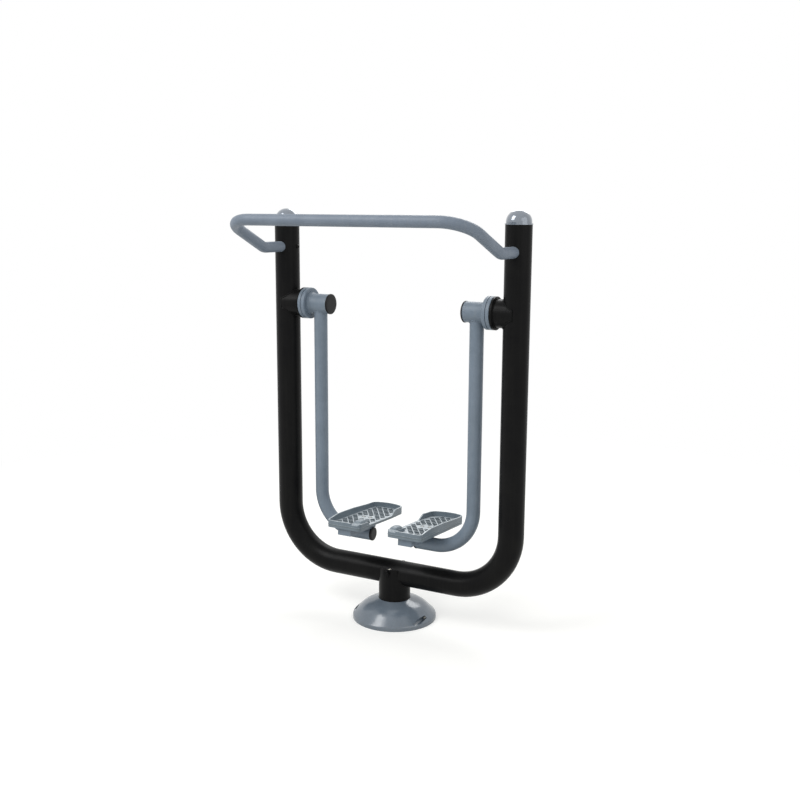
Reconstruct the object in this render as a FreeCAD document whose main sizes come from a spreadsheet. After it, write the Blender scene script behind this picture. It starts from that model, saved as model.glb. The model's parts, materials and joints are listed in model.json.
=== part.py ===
import FreeCAD, Part
import math
import os
import types

import Sketcher

# Outdoor air walker: a bent tube frame on a pedestal, with two free swinging arms.
# X runs along the frame, -Y to the handlebar, +Z up. The origin is on the ground
# under the middle of the column. Lengths are millimetres, angles degrees.

Vector = FreeCAD.Vector
Rotation = FreeCAD.Rotation
Placement = FreeCAD.Placement

doc = FreeCAD.newDocument("air_walker")
sheet = doc.addObject("Spreadsheet::Sheet", "sizes")

DRIVING_SIZES = {
    # frame: posts and bottom bar in one tube
    "post_spacing": 900,
    "frame_tube": 88.9,
    "frame_wall": 3.5,
    "frame_bend": 205,
    "frame_low": 169,
    "post_top": 1420,
    "weld_gap": 0.2,
    # pedestal
    "column_tube": 114.3,
    "column_wall": 4.5,
    "column_top": 193.5,
    "plate_dia": 212,
    "plate_thick": 12,
    "anchor_circle": 164,
    "anchor_hole": 14,
    "gusset_thick": 6,
    "gusset_reach": 101,
    "gusset_rise": 40,
    "gusset_toe": 8,
    # bolt through column and frame
    "bolt_rise": 12,
    "bolt_dia": 12,
    "bolt_play": 0.4,
    "bolt_head": 19,
    "bolt_head_thick": 7.5,
    "bolt_tail": 5,
    "spacer_dia": 24,
    "washer_dia": 24,
    "washer_thick": 2.5,
    "nut_thick": 10,
    # domed foot cover in two halves
    "cover_dia": 304,
    "cover_wall": 3,
    "cover_rim": 13.5,
    "cover_shoulder": 56.6,
    "cover_shoulder_dia": 214,
    "cover_top": 73.6,
    "cover_rim_round": 12,
    "cover_shoulder_round": 100,
    "cover_neck_gap": 1,
    "cover_split": 0.3,
    "cover_screw_inset": 21,
    "cover_screw_level": 23,
    "cover_boss": 24,
    "cover_recess": 18,
    "cover_web": 14,
    "cover_screw": 5,
    "cover_screw_head": 10,
    "cover_screw_head_thick": 3.5,
    "cover_screw_edge": 1,
    "cover_screw_tail": 20,
    # post caps
    "cap_rim": 93,
    "cap_rim_thick": 4,
    "cap_dome_dia": 86,
    "cap_dome_rise": 44,
    "cap_dome_round": 41,
    "cap_bore_round": 10,
    "cap_wall": 3,
    "cap_spigot": 22,
    "cap_fit": 0.15,
    # handlebar
    "bar_tube": 38,
    "bar_wall": 2.6,
    "bar_drop": 88,
    "bar_rise": 99,
    "bar_elbow_reach": 146,
    "bar_reach": 377,
    "bar_toe_in": 14,
    "bar_elbow_bend": 60,
    "bar_corner_bend": 98,
    "bar_inset": 20,
    "bar_gap": 0.3,
    "insert_dia": 16,
    "insert_inset": 2.6,
    "bar_screw": 10,
    "bar_screw_head": 17,
    "bar_screw_flat": 8.5,
    "bar_screw_head_thick": 5,
    "bar_screw_depth": 34,
    # stub axle on the post
    "axle_height": 1130,
    "stub_tube": 96,
    "stub_wall": 5,
    "stub_reach": 68,
    "disc_dia": 112,
    "disc_thick": 8,
    "disc_edge": 2,
    "turned_edge": 1.5,
    "shaft_dia": 30,
    "shaft_start": 30,
    "shoulder_dia": 40,
    "thread_dia": 24,
    "shaft_fit": 0.1,
    "stop_pitch": 43,
    "stop_pin_dia": 12,
    "stop_pin_seat": 6.5,
    "stop_pin_reach": 12,
    "buffer_dia": 16,
    "buffer_fit": 0.1,
    "swing_limit": 45,
    "stop_gap": 0.3,
    # swinging hub and its bearings
    "hub_gap": 1,
    "flange_dia": 112,
    "flange_thick": 27,
    "flange_groove_at": 12,
    "flange_groove_wide": 2.5,
    "flange_groove_deep": 3,
    "collar_dia": 88,
    "collar_thick": 4,
    "sleeve_dia": 70,
    "sleeve_end": 182,
    "sleeve_round": 7,
    "slot_width": 17,
    "slot_depth": 14.5,
    "bearing_dia": 62,
    "bearing_width": 16,
    "bearing_one": 96,
    "bearing_two": 146,
    "bearing_fit": 0.05,
    "race_split": 41,
    "race_gap": 0.3,
    "race_rim": 4,
    "race_step": 1,
    "seat_bore": 54,
    "ring_groove_deep": 1.4,
    "ring_groove_wide": 2.2,
    "ring_thick": 1.8,
    "ring_width": 4,
    "ring_opening": 12,
    "seal_at": 86,
    "seal_width": 8,
    "seal_lip": 0.3,
    "axle_washer_thick": 3,
    "axle_nut_size": 36,
    "axle_nut_thick": 12,
    "axle_tail": 3,
    "hub_cap_dia": 73,
    "hub_cap_thick": 6,
    "hub_cap_wall": 2.4,
    "hub_cap_crown": 0.5,
    "hub_cap_flat": 51,
    "hub_cap_spigot": 8,
    # swinging arm
    "arm_tube": 48.3,
    "arm_wall": 3,
    "arm_reach": 308.5,
    "arm_bend": 142,
    "foot_height": 298,
    "foot_end": 94,
    "arm_tuck": 15,
    "plug_head": 7,
    "plug_dia": 49.5,
    "plug_flat": 37,
    "plug_edge": 2,
    "plug_depth": 18,
    "plug_fit": 0.15,
    # footplate and its carrier, in a plane that rises to the toe
    "pedal_tilt": 4,
    "carrier_near": 95,
    "carrier_far": 147,
    "carrier_low": 21,
    "carrier_front": 155,
    "carrier_back": 25,
    "carrier_wall": 4,
    "pedal_base": 46,
    "tread_top": 58,
    "pedal_floor": 5,
    "pedal_wall": 5,
    "rim_toe": 70,
    "rim_peak": 81,
    "rim_heel": 76,
    "rim_rise_line": 95,
    "rim_fall_line": 10,
    "rim_heel_line": 125,
    "rim_round": 200,
    "lobe_top": 75,
    "lobe_front": 65,
    "lobe_slope": 10,
    "lobe_front_round": 16,
    "lobe_rear": 112,
    "lobe_rear_round": 12,
    "lobe_back": 92,
    "lobe_crest_side": 62,
    "lobe_crest_round": 14,
    "lobe_inner": 70,
    "lobe_side": 89,
    "lobe_outer": 70,
    "lobe_corner": 14,
    "toe_line": 165,
    "toe_side": 188,
    "toe_round": 14,
    "outer_side": 190,
    "outer_line": 20,
    "outer_round": 900,
    "heel_outer": 190,
    "heel_outer_line": 178,
    "heel_outer_corner": 29,
    "heel_middle": 124,
    "heel_line": 197,
    "heel_round": 118,
    "heel_inner": 60,
    "heel_inner_line": 172,
    "heel_inner_corner": 33,
    "inner_side": 54,
    "arch_line": 80,
    "arch_round": 300,
    "arch_end": 73,
    "arch_rise": 32,
    "arch_top": 77,
    "arch_corner": 10,
    "cell_across": 24,
    "cell_along": 36,
    "cell_rib": 3.6,
    "cell_depth": 4,
    "cell_margin": 3,
    "seat_margin": 1,
    "pedal_bolt": 8,
    "pedal_bolt_head": 14,
    "pedal_bolt_head_thick": 4.4,
    "pedal_bolt_flat": 8,
    "pedal_bolt_edge": 1,
    "pedal_bolt_sink": 5,
    "pedal_bolt_across": 28,
    "pedal_bolt_along": 140,
    "pedal_bolt_play": 0.5,
    "pedal_nut_size": 13,
    "pedal_nut_thick": 6.5,
    "pedal_bolt_tail": 2,
    "boss_dia": 20,
}


class Size:
    # a number together with the sheet expression that gives it

    def __init__(self, value, text):
        self.value = float(value)
        self.text = text

    def joined(self, sign, other, value):
        return Size(value, "(%s %s %s)" % (self.text, sign, text_of(other)))

    def __add__(self, other):
        return self.joined("+", other, self.value + number(other))

    def __sub__(self, other):
        return self.joined("-", other, self.value - number(other))

    def __mul__(self, other):
        return self.joined("*", other, self.value * number(other))

    def __truediv__(self, other):
        return self.joined("/", other, self.value / number(other))

    def __neg__(self):
        return Size(-self.value, "(0 - %s)" % self.text)

    __radd__ = __add__
    __rmul__ = __mul__


def number(size):
    return size.value if isinstance(size, Size) else float(size)


def text_of(size):
    return size.text if isinstance(size, Size) else repr(size)


def fill_sheet():
    named = {}
    for row, (alias, value) in enumerate(DRIVING_SIZES.items(), start=1):
        sheet.set("A%d" % row, alias)
        sheet.set("B%d" % row, str(value))
        sheet.setAlias("B%d" % row, alias)
        named[alias] = Size(value, "sizes." + alias)
    doc.recompute()
    return types.SimpleNamespace(**named)


s = fill_sheet()
post_x = s.post_spacing / 2
post_r = s.frame_tube / 2
bar_entry = s.post_top - s.bar_drop
bolt_line = s.frame_low + s.bolt_rise
cover_screw_x = s.cover_dia / 2 - s.cover_screw_inset
nodes = {}


def bind(item, name, size):
    if isinstance(size, Size):
        item.setExpression(name, size.text)
    elif "." not in name:
        setattr(item, name, size)


def node(label, item):
    item.Label = label
    nodes[label] = item
    return item


# Bodies, sketches and features

def new_body(label):
    body = doc.addObject("PartDesign::Body", label)
    body.Label = label
    return body


def new_sketch(body, role, offset=None):
    plane = next(f for f in body.Origin.OriginFeatures if f.Role == role)
    sketch = body.newObject("Sketcher::SketchObject", body.Name + "_sketch")
    sketch.AttachmentSupport = [(plane, "")]
    sketch.MapMode = "FlatFace"
    if offset is not None:
        sketch.AttachmentOffset = Placement(Vector(0, 0, number(offset)), Rotation())
        bind(sketch, "AttachmentOffset.Base.z", offset)
    return sketch


def hold(sketch, kind, *where, size):
    # a dimension that follows the sheet
    index = sketch.addConstraint(Sketcher.Constraint(kind, *where, number(size)))
    if isinstance(size, Size):
        sketch.setExpression("Constraints[%d]" % index, size.text)


def pin_point(sketch, item, end, x, y):
    for kind, axis, value in (("DistanceX", -2, x), ("DistanceY", -1, y)):
        if number(value) == 0:
            sketch.addConstraint(Sketcher.Constraint("PointOnObject", item, end, axis))
        else:
            hold(sketch, kind, -1, 1, item, end, size=value)


def circle(sketch, radius, x=0, y=0):
    centre = Vector(number(x), number(y), 0)
    item = sketch.addGeometry(Part.Circle(centre, Vector(0, 0, 1), number(radius)), False)
    hold(sketch, "Radius", item, size=radius)
    pin_point(sketch, item, 3, x, y)
    return item


def turn_at(before, corner, after, radius):
    # tangent points and centre of the arc that rounds a corner
    back = (before - corner).normalize()
    ahead = (after - corner).normalize()
    half = back.getAngle(ahead) / 2
    reach = radius / math.tan(half)
    centre = corner + (back + ahead).normalize() * (radius / math.sin(half))
    return corner + back * reach, corner + ahead * reach, centre


def run_of(sketch, corners, closed):
    # straight runs joined by tangent arcs; each corner is (x, y) or (x, y, radius)
    first = len(sketch.Geometry)
    points = [Vector(number(c[0]), number(c[1]), 0) for c in corners]
    count = len(corners)
    rounds = [number(c[2]) if len(c) > 2 else 0 for c in corners]
    arcs = {}
    for i in range(count):
        if rounds[i] > 0:
            arcs[i] = turn_at(points[i - 1], points[i], points[(i + 1) % count], rounds[i])
    runs = count if closed else count - 1
    for i in range(runs):
        start = arcs[i][1] if i in arcs else points[i]
        j = (i + 1) % count
        end = arcs[j][0] if j in arcs else points[j]
        sketch.addGeometry(Part.LineSegment(start, end), False)
    for i in range(count):
        before = first + (i - 1) % runs
        if i in arcs:
            round_corner(sketch, corners[i], arcs[i], before, first + i)
            continue
        if closed or 0 < i < count - 1:
            sketch.addConstraint(Sketcher.Constraint("Coincident", before, 2, first + i, 1))
        if i < runs:
            pin_point(sketch, first + i, 1, corners[i][0], corners[i][1])
        else:
            pin_point(sketch, before, 2, corners[i][0], corners[i][1])


def round_corner(sketch, corner, arc, before, after):
    into, out, centre = arc
    radius = number(corner[2])
    spin = (into - centre).cross(out - centre).z
    first, last = (into, out) if spin > 0 else (out, into)
    angles = [math.atan2(p.y - centre.y, p.x - centre.x) for p in (first, last)]
    whole = Part.Circle(centre, Vector(0, 0, 1), radius)
    item = sketch.addGeometry(Part.ArcOfCircle(whole, angles[0], angles[1]), False)
    ends = (1, 2) if spin > 0 else (2, 1)
    sketch.addConstraint(Sketcher.Constraint("Tangent", before, 2, item, ends[0]))
    sketch.addConstraint(Sketcher.Constraint("Tangent", item, ends[1], after, 1))
    hold(sketch, "Radius", item, size=corner[2])
    apex = Vector(number(corner[0]), number(corner[1]), 0)
    mark = sketch.addGeometry(Part.Point(apex), True)
    pin_point(sketch, mark, 1, corner[0], corner[1])
    sketch.addConstraint(Sketcher.Constraint("PointOnObject", mark, 1, before))
    sketch.addConstraint(Sketcher.Constraint("PointOnObject", mark, 1, after))


def outline(sketch, corners):
    run_of(sketch, corners, closed=True)


def feature(body, kind, sketch):
    item = body.newObject("PartDesign::" + kind, body.Name + "_" + kind.lower())
    item.Profile = sketch
    return item


def pad(body, sketch, length, both=False, back=False):
    item = feature(body, "Pad", sketch)
    item.Length = number(length)
    bind(item, "Length", length)
    item.Reversed = back
    if both:
        item.SideType = "Symmetric"
    doc.recompute()
    return item


def pocket(body, sketch, length, both=False, back=False):
    # every pocket has to take something away
    before = body.Shape.Volume
    item = feature(body, "Pocket", sketch)
    item.Length = number(length)
    bind(item, "Length", length)
    item.Reversed = back
    if both:
        item.SideType = "Symmetric"
    doc.recompute()
    if body.Shape.Volume > before - 1e-6:
        raise RuntimeError("a pocket of %s cuts nothing" % body.Label)
    return item


def revolve(body, sketch, angle=360, back=False):
    item = feature(body, "Revolution", sketch)
    item.ReferenceAxis = (sketch, ["V_Axis"])
    item.Angle = number(angle)
    item.Reversed = back
    doc.recompute()
    return item


def groove(body, sketch, angle=360, both=False):
    before = body.Shape.Volume
    item = feature(body, "Groove", sketch)
    item.ReferenceAxis = (sketch, ["V_Axis"])
    item.Angle = number(angle)
    bind(item, "Angle", angle)
    item.Midplane = both
    doc.recompute()
    if body.Shape.Volume > before - 1e-6:
        raise RuntimeError("a groove of %s cuts nothing" % body.Label)
    return item


def sweep(body, section, path):
    item = feature(body, "AdditivePipe", section)
    edges = ["Edge%d" % (i + 1) for i in range(len(path.Shape.Edges))]
    item.Spine = (path, edges)
    doc.recompute()
    return item


def place(item, x=0, y=0, z=0, rotation=Rotation()):
    item.Placement = Placement(Vector(number(x), number(y), number(z)), rotation)
    for letter, size in (("x", x), ("y", y), ("z", z)):
        if isinstance(size, Size):
            item.setExpression("Placement.Base." + letter, size.text)
    return item


def turned(label, corners):
    # a piece turned about its own Z axis from a profile of (radius, height) corners
    body = new_body(label)
    sketch = new_sketch(body, "XZ_Plane")
    outline(sketch, corners)
    revolve(body, sketch)
    return body


def ring_profile(inner, outer, low, high):
    return [(inner, low), (outer, low), (outer, high), (inner, high)]


def mirrored(label, item):
    twin = doc.addObject("Part::Mirroring", label)
    twin.Source = item
    twin.Normal = (1, 0, 0)
    twin.Base = (0, 0, 0)
    return node(label, twin)


def pair(name, item):
    # the right-hand piece and its mirror image
    node(name + "_right", item)
    mirrored(name + "_left", item)


def group(label, items):
    whole = doc.addObject("Part::Compound", label)
    whole.Links = items
    doc.recompute()
    return node(label, whole)


def hexagon(across):
    # corners of a hexagon with the given width across its flats
    far = across / math.sqrt(3)
    half = far / 2
    flat = across / 2
    return [(far, 0), (half, flat), (-half, flat), (-far, 0), (-half, -flat), (half, -flat)]


# Pedestal

def make_base_plate():
    body = new_body("base_plate")
    sketch = new_sketch(body, "XY_Plane")
    circle(sketch, s.plate_dia / 2)
    pad(body, sketch, s.plate_thick)
    holes = new_sketch(body, "XY_Plane")
    turn = math.radians(45)
    for quarter in range(4):
        angle = turn + quarter * math.pi / 2
        reach = s.anchor_circle / 2
        circle(holes, s.anchor_hole / 2, reach * math.cos(angle), reach * math.sin(angle))
    pocket(body, holes, s.plate_thick, back=True)
    node("base_plate", body)


def make_gussets():
    body = new_body("base_gussets")
    sketch = new_sketch(body, "XZ_Plane")
    foot = s.column_tube / 2 + s.weld_gap
    floor = s.plate_thick
    outline(sketch, [(foot, floor), (s.gusset_reach, floor), (s.gusset_reach, floor + s.gusset_toe),
                     (foot + s.gusset_toe, floor + s.gusset_rise), (foot, floor + s.gusset_rise)])
    first = pad(body, sketch, s.gusset_thick, both=True)
    pattern = body.newObject("PartDesign::PolarPattern", "gusset_pattern")
    pattern.Originals = [first]
    pattern.Axis = (sketch, ["V_Axis"])
    pattern.Angle = 360
    pattern.Occurrences = 4
    body.Tip = pattern
    doc.recompute()
    node("base_gussets", body)


def make_column():
    body = new_body("pedestal_column")
    sketch = new_sketch(body, "XY_Plane", s.plate_thick)
    circle(sketch, s.column_tube / 2)
    circle(sketch, s.column_tube / 2 - s.column_wall)
    pad(body, sketch, s.column_top - s.plate_thick)
    seat = post_r + s.weld_gap
    saddle = new_sketch(body, "YZ_Plane")
    circle(saddle, seat, 0, s.frame_low)
    pocket(body, saddle, s.column_tube * 2, both=True)
    mouth = new_sketch(body, "YZ_Plane")
    over = s.column_top + s.column_wall
    outline(mouth, [(-seat, s.frame_low), (seat, s.frame_low), (seat, over), (-seat, over)])
    pocket(body, mouth, s.column_tube * 2, both=True)
    bolt_way(body)
    node("pedestal_column", body)


def bolt_way(body):
    hole = new_sketch(body, "XZ_Plane")
    circle(hole, s.bolt_dia / 2 + s.bolt_play, 0, bolt_line)
    pocket(body, hole, s.column_tube * 2, both=True)


def make_frame_spacers():
    # two bushes between the frame's tube and the inside of the column
    body = new_body("frame_spacers")
    sketch = new_sketch(body, "XZ_Plane")
    circle(sketch, s.spacer_dia / 2, 0, bolt_line)
    pad(body, sketch, s.column_tube - s.column_wall * 2 - s.weld_gap, both=True)
    tube = new_sketch(body, "YZ_Plane")
    circle(tube, post_r + s.weld_gap, 0, s.frame_low)
    pocket(body, tube, s.spacer_dia * 2, both=True)
    trim = new_sketch(body, "XY_Plane", bolt_line)
    circle(trim, s.column_tube)
    circle(trim, s.column_tube / 2 - s.column_wall - s.weld_gap)
    pocket(body, trim, s.spacer_dia * 2, both=True)
    bolt_way(body)
    node("frame_spacers", body)


def make_frame_bolt():
    washers = new_body("frame_washers")
    sketch = new_sketch(washers, "XZ_Plane")
    circle(sketch, s.washer_dia / 2, 0, bolt_line)
    pad(washers, sketch, s.column_tube + s.washer_thick * 2, both=True)
    column = new_sketch(washers, "XY_Plane", bolt_line)
    circle(column, s.column_tube / 2 + s.weld_gap)
    pocket(washers, column, s.washer_dia * 2, both=True)
    bolt_way(washers)
    node("frame_washers", washers)

    # the bolt stands along its own Z axis with its head downwards, then lies along Y
    face = s.column_tube / 2 + s.washer_thick
    lying = Rotation(Vector(1, 0, 0), -90)
    bolt = new_body("frame_bolt")
    head = new_sketch(bolt, "XY_Plane", -face - s.bolt_head_thick)
    outline(head, hexagon(s.bolt_head))
    pad(bolt, head, s.bolt_head_thick)
    shank = new_sketch(bolt, "XY_Plane", -face)
    circle(shank, s.bolt_dia / 2)
    pad(bolt, shank, face * 2 + s.nut_thick + s.bolt_tail)
    node("frame_bolt", place(bolt, 0, 0, bolt_line, lying))
    nut = new_body("frame_nut")
    shape = new_sketch(nut, "XY_Plane", face)
    outline(shape, hexagon(s.bolt_head))
    circle(shape, s.bolt_dia / 2 + s.shaft_fit)
    pad(nut, shape, s.nut_thick)
    node("frame_nut", place(nut, 0, 0, bolt_line, lying))


# Foot cover

def cover_curve(inset):
    # the dome's profile from the ground to the neck
    neck = s.column_tube / 2 + s.cover_neck_gap
    rim = s.cover_dia / 2 - inset
    shoulder = s.cover_shoulder_dia / 2 - inset / 2
    return [(rim, 0), (rim, s.cover_rim - inset / 2, s.cover_rim_round - inset),
            (shoulder, s.cover_shoulder - inset, s.cover_shoulder_round - inset),
            (neck, s.cover_top - inset)]


def make_cover_half(label, front):
    body = new_body(label)
    shell = new_sketch(body, "XZ_Plane")
    outline(shell, cover_curve(Size(0, "0")) + cover_curve(s.cover_wall)[::-1])
    revolve(body, shell, 180, back=front)
    bosses = new_sketch(body, "XZ_Plane")
    for side in (1, -1):
        circle(bosses, s.cover_boss / 2, cover_screw_x * side, s.cover_screw_level)
    pad(body, bosses, s.cover_dia / 2, back=not front)
    outside = new_sketch(body, "XZ_Plane")
    curve = cover_curve(Size(0, "0"))
    wide = s.cover_dia
    curve[0] = (s.cover_dia / 2, -s.cover_rim)
    above = s.cover_top * 2
    outline(outside, curve + [(curve[-1][0], above), (wide, above), (wide, -s.cover_rim)])
    groove(body, outside)
    if front:
        recess = new_sketch(body, "XZ_Plane", s.cover_web)
        hole = new_sketch(body, "XZ_Plane")
        for side in (1, -1):
            circle(recess, s.cover_recess / 2, cover_screw_x * side, s.cover_screw_level)
            circle(hole, s.cover_screw / 2 + s.bolt_play, cover_screw_x * side, s.cover_screw_level)
        pocket(body, recess, s.cover_dia / 2, back=True)
        pocket(body, hole, s.cover_web * 2, both=True)
    else:
        hole = new_sketch(body, "XZ_Plane")
        for side in (1, -1):
            circle(hole, s.cover_screw / 2 + s.shaft_fit, cover_screw_x * side, s.cover_screw_level)
        pocket(body, hole, s.cover_screw_tail + s.cover_wall)
    place(body, 0, s.cover_split / (-2 if front else 2), 0)
    node(label, body)


def make_cover_screws():
    screws = []
    for name, side in (("cover_screw_one", 1), ("cover_screw_two", -1)):
        head = s.cover_web + s.cover_screw_head_thick
        shank_r = s.cover_screw / 2
        head_r = s.cover_screw_head / 2
        edge = s.cover_screw_edge
        screw = turned(name, [
            (0, -s.cover_screw_tail), (shank_r, -s.cover_screw_tail), (shank_r, s.cover_web),
            (head_r, s.cover_web), (head_r, head - edge), (head_r - edge, head), (0, head)])
        lying = Rotation(Vector(1, 0, 0), 90)
        shift = s.cover_split / -2
        screws.append(place(screw, cover_screw_x * side, shift, s.cover_screw_level, lying))
    group("base_cover_screws", screws)


# Frame

def make_main_frame():
    body = new_body("main_frame")
    path = new_sketch(body, "XZ_Plane")
    run_of(path, [(-post_x, s.post_top), (-post_x, s.frame_low, s.frame_bend),
                  (post_x, s.frame_low, s.frame_bend), (post_x, s.post_top)], closed=False)
    section = new_sketch(body, "XY_Plane", s.post_top)
    circle(section, post_r, -post_x, 0)
    circle(section, post_r - s.frame_wall, -post_x, 0)
    doc.recompute()
    sweep(body, section, path)
    entries = new_sketch(body, "XZ_Plane")
    for side in (1, -1):
        circle(entries, s.bar_tube / 2 + s.bar_gap, post_x * side, bar_entry)
    pocket(body, entries, s.frame_tube, back=True)
    shafts = new_sketch(body, "YZ_Plane")
    circle(shafts, s.shaft_dia / 2 + s.weld_gap, 0, s.axle_height)
    pocket(body, shafts, s.post_spacing, both=True)
    screws = new_sketch(body, "YZ_Plane")
    circle(screws, s.bar_screw / 2 + s.bolt_play, 0, bar_entry)
    pocket(body, screws, s.post_spacing, both=True)
    bolt_way(body)
    node("main_frame", body)


def make_post_cap():
    rim_low = s.post_top
    dome_low = s.post_top + s.cap_rim_thick
    dome_r = s.cap_dome_dia / 2
    dome_high = dome_low + s.cap_dome_rise
    plug_r = post_r - s.frame_wall - s.cap_fit
    bore = plug_r - s.cap_wall
    seat = rim_low + s.cap_fit
    cap = turned("post_cap_right", [
        (0, dome_high), (0, dome_high - s.cap_wall), (bore, dome_low, s.cap_bore_round),
        (bore, rim_low - s.cap_spigot), (plug_r, rim_low - s.cap_spigot), (plug_r, seat),
        (s.cap_rim / 2, seat), (s.cap_rim / 2, dome_low), (dome_r, dome_low),
        (dome_r, dome_high, s.cap_dome_round)])
    pair("post_cap", place(cap, post_x, 0, 0))


# Handlebar: one tube bent in two planes, so its line is made in space

def bar_route(start):
    half = number(post_x)
    entry = number(bar_entry)
    elbow = number(s.bar_elbow_reach)
    reach = number(s.bar_reach)
    top = number(bar_entry + s.bar_rise)
    corner = half - number(s.bar_toe_in)
    leg = [Vector(half, start, entry), Vector(half, -elbow, entry), Vector(corner, -reach, top)]
    return leg + [Vector(-p.x, p.y, p.z) for p in reversed(leg)]


def rounded_wire(points, radii):
    edges = []
    last = points[0]
    for i in range(1, len(points) - 1):
        into, out, centre = turn_at(points[i - 1], points[i], points[i + 1], radii[i - 1])
        middle = centre + (points[i] - centre).normalize() * radii[i - 1]
        edges.append(Part.LineSegment(last, into).toShape())
        edges.append(Part.Arc(into, middle, out).toShape())
        last = out
    edges.append(Part.LineSegment(last, points[-1]).toShape())
    return Part.Wire(edges)


def swept_tube(wire, start, direction, radius):
    ring = Part.Wire([Part.Circle(start, direction, radius).toShape()])
    return wire.makePipeShell([ring], True, False)


def make_handlebar():
    elbow = number(s.bar_elbow_bend)
    corner = number(s.bar_corner_bend)
    inset = number(s.bar_inset)
    points = bar_route(inset)
    wire = rounded_wire(points, [elbow, corner, corner, elbow])
    outer = number(s.bar_tube) / 2
    along = Vector(0, -1, 0)
    solid = swept_tube(wire, points[0], along, outer)
    hollow = swept_tube(wire, points[0], along, outer - number(s.bar_wall))
    shape = solid.cut(hollow)
    hole = number(s.bar_screw) / 2 + number(s.bolt_play)
    entry = number(bar_entry)
    half = number(post_x)
    drill = Part.makeCylinder(hole, 2 * half, Vector(-half, 0, entry), Vector(1, 0, 0))
    bar = doc.addObject("Part::Feature", "handlebar")
    bar.Shape = shape.cut(drill)
    bar.Placement = Placement()
    node("handlebar", bar)


def make_handlebar_fixings():
    across = Rotation(Vector(0, 1, 0), 90)
    bore = s.bar_tube / 2 - s.bar_wall
    reach = bore - s.insert_inset
    thread = s.bar_screw / 2 + s.shaft_fit
    insert = turned("bar_insert_one", ring_profile(thread, s.insert_dia / 2, -reach, reach))
    place(insert, post_x, 0, bar_entry, across)
    head = s.frame_tube / 2
    top = head + s.bar_screw_head_thick
    shank = s.bar_screw / 2
    screw = turned("bar_screw_one", [
        (0, -top), (s.bar_screw_flat / 2, -top), (s.bar_screw_head / 2, -head - s.turned_edge),
        (s.bar_screw_head / 2, -head - s.weld_gap), (shank, -head - s.weld_gap),
        (shank, s.bar_screw_depth - head), (0, s.bar_screw_depth - head)])
    place(screw, post_x, 0, bar_entry, across)
    doc.recompute()
    for label, piece in (("handlebar_inserts", insert), ("handlebar_screws", screw)):
        twin = doc.addObject("Part::Mirroring", label + "_twin")
        twin.Source = piece
        twin.Normal = (1, 0, 0)
        twin.Base = (0, 0, 0)
        doc.recompute()
        group(label, [piece, twin])


# Hub and axle. Each piece lies on its own Z axis, which counts inwards from the post's axis.

def on_axle(body):
    return place(body, post_x, 0, s.axle_height, Rotation(Vector(0, 1, 0), -90))


def make_axle_stub():
    # wider than the post, so its notched end reaches past the post's sides
    body = new_body("axle_stub_right")
    sketch = new_sketch(body, "XY_Plane")
    circle(sketch, s.stub_tube / 2)
    circle(sketch, s.stub_tube / 2 - s.stub_wall)
    pad(body, sketch, s.stub_reach)
    post = new_sketch(body, "YZ_Plane")
    circle(post, post_r + s.weld_gap)
    pocket(body, post, s.stub_tube * 2, both=True)
    pair("axle_stub", on_axle(body))


def make_axle_disc():
    low = s.stub_reach
    high = s.stub_reach + s.disc_thick
    bore = s.shaft_dia / 2 + s.shaft_fit
    edge = s.disc_dia / 2
    body = turned("axle_disc_right", [
        (bore, low), (edge - s.disc_edge, low), (edge, low + s.disc_edge), (edge, high), (bore, high)])
    seat = new_sketch(body, "XY_Plane", high)
    circle(seat, s.stop_pin_dia / 2 + s.shaft_fit, s.stop_pitch, 0)
    pocket(body, seat, s.stop_pin_seat)
    pair("axle_disc", on_axle(body))


def make_stop():
    face = s.stub_reach + s.disc_thick
    pin = new_body("stop_pin_right")
    sketch = new_sketch(pin, "XY_Plane", face - s.stop_pin_seat)
    circle(sketch, s.stop_pin_dia / 2, s.stop_pitch, 0)
    pad(pin, sketch, s.stop_pin_seat + s.stop_pin_reach)
    pair("stop_pin", on_axle(pin))
    buffer = new_body("stop_buffer_right")
    ring = new_sketch(buffer, "XY_Plane", face + s.weld_gap)
    circle(ring, s.buffer_dia / 2, s.stop_pitch, 0)
    circle(ring, s.stop_pin_dia / 2 + s.buffer_fit, s.stop_pitch, 0)
    pad(buffer, ring, s.stop_pin_reach)
    pair("stop_buffer", on_axle(buffer))


def shaft_end():
    return s.bearing_two + s.bearing_width + s.axle_washer_thick + s.axle_nut_thick + s.axle_tail


def make_shaft():
    journal = s.shaft_dia / 2
    thread = s.thread_dia / 2
    step = s.bearing_two + s.bearing_width
    face = s.stub_reach + s.disc_thick
    shoulder = s.shoulder_dia / 2
    end = shaft_end()
    body = turned("axle_shaft_right", [
        (0, s.shaft_start), (journal, s.shaft_start), (journal, face), (shoulder, face),
        (shoulder, s.bearing_one), (journal, s.bearing_one), (journal, step), (thread, step),
        (thread, end - s.turned_edge), (thread - s.turned_edge, end), (0, end)])
    pair("axle_shaft", on_axle(body))


def outer_race(shield, outer, low, high):
    # a ring with its shield set back on both faces
    step = s.race_step
    rim = outer - s.race_rim
    return [(shield, low + step), (rim - step, low + step), (rim, low), (outer, low),
            (outer, high), (rim, high), (rim - step, high - step), (shield, high - step)]


def make_bearings():
    bore = s.shaft_dia / 2 + s.bearing_fit
    split = s.race_split / 2
    outer = s.bearing_dia / 2 - s.bearing_fit
    shield = split + s.race_gap
    for name in ("bearing_inner", "bearing_outer"):
        rings = []
        for number_word, low in (("one", s.bearing_one), ("two", s.bearing_two)):
            high = low + s.bearing_width
            profile = ring_profile(bore, split, low, high)
            if name == "bearing_outer":
                profile = outer_race(shield, outer, low, high)
            rings.append(on_axle(turned(name + "_" + number_word, profile)))
        right = group(name + "_right", rings)
        mirrored(name + "_left", right)


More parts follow.
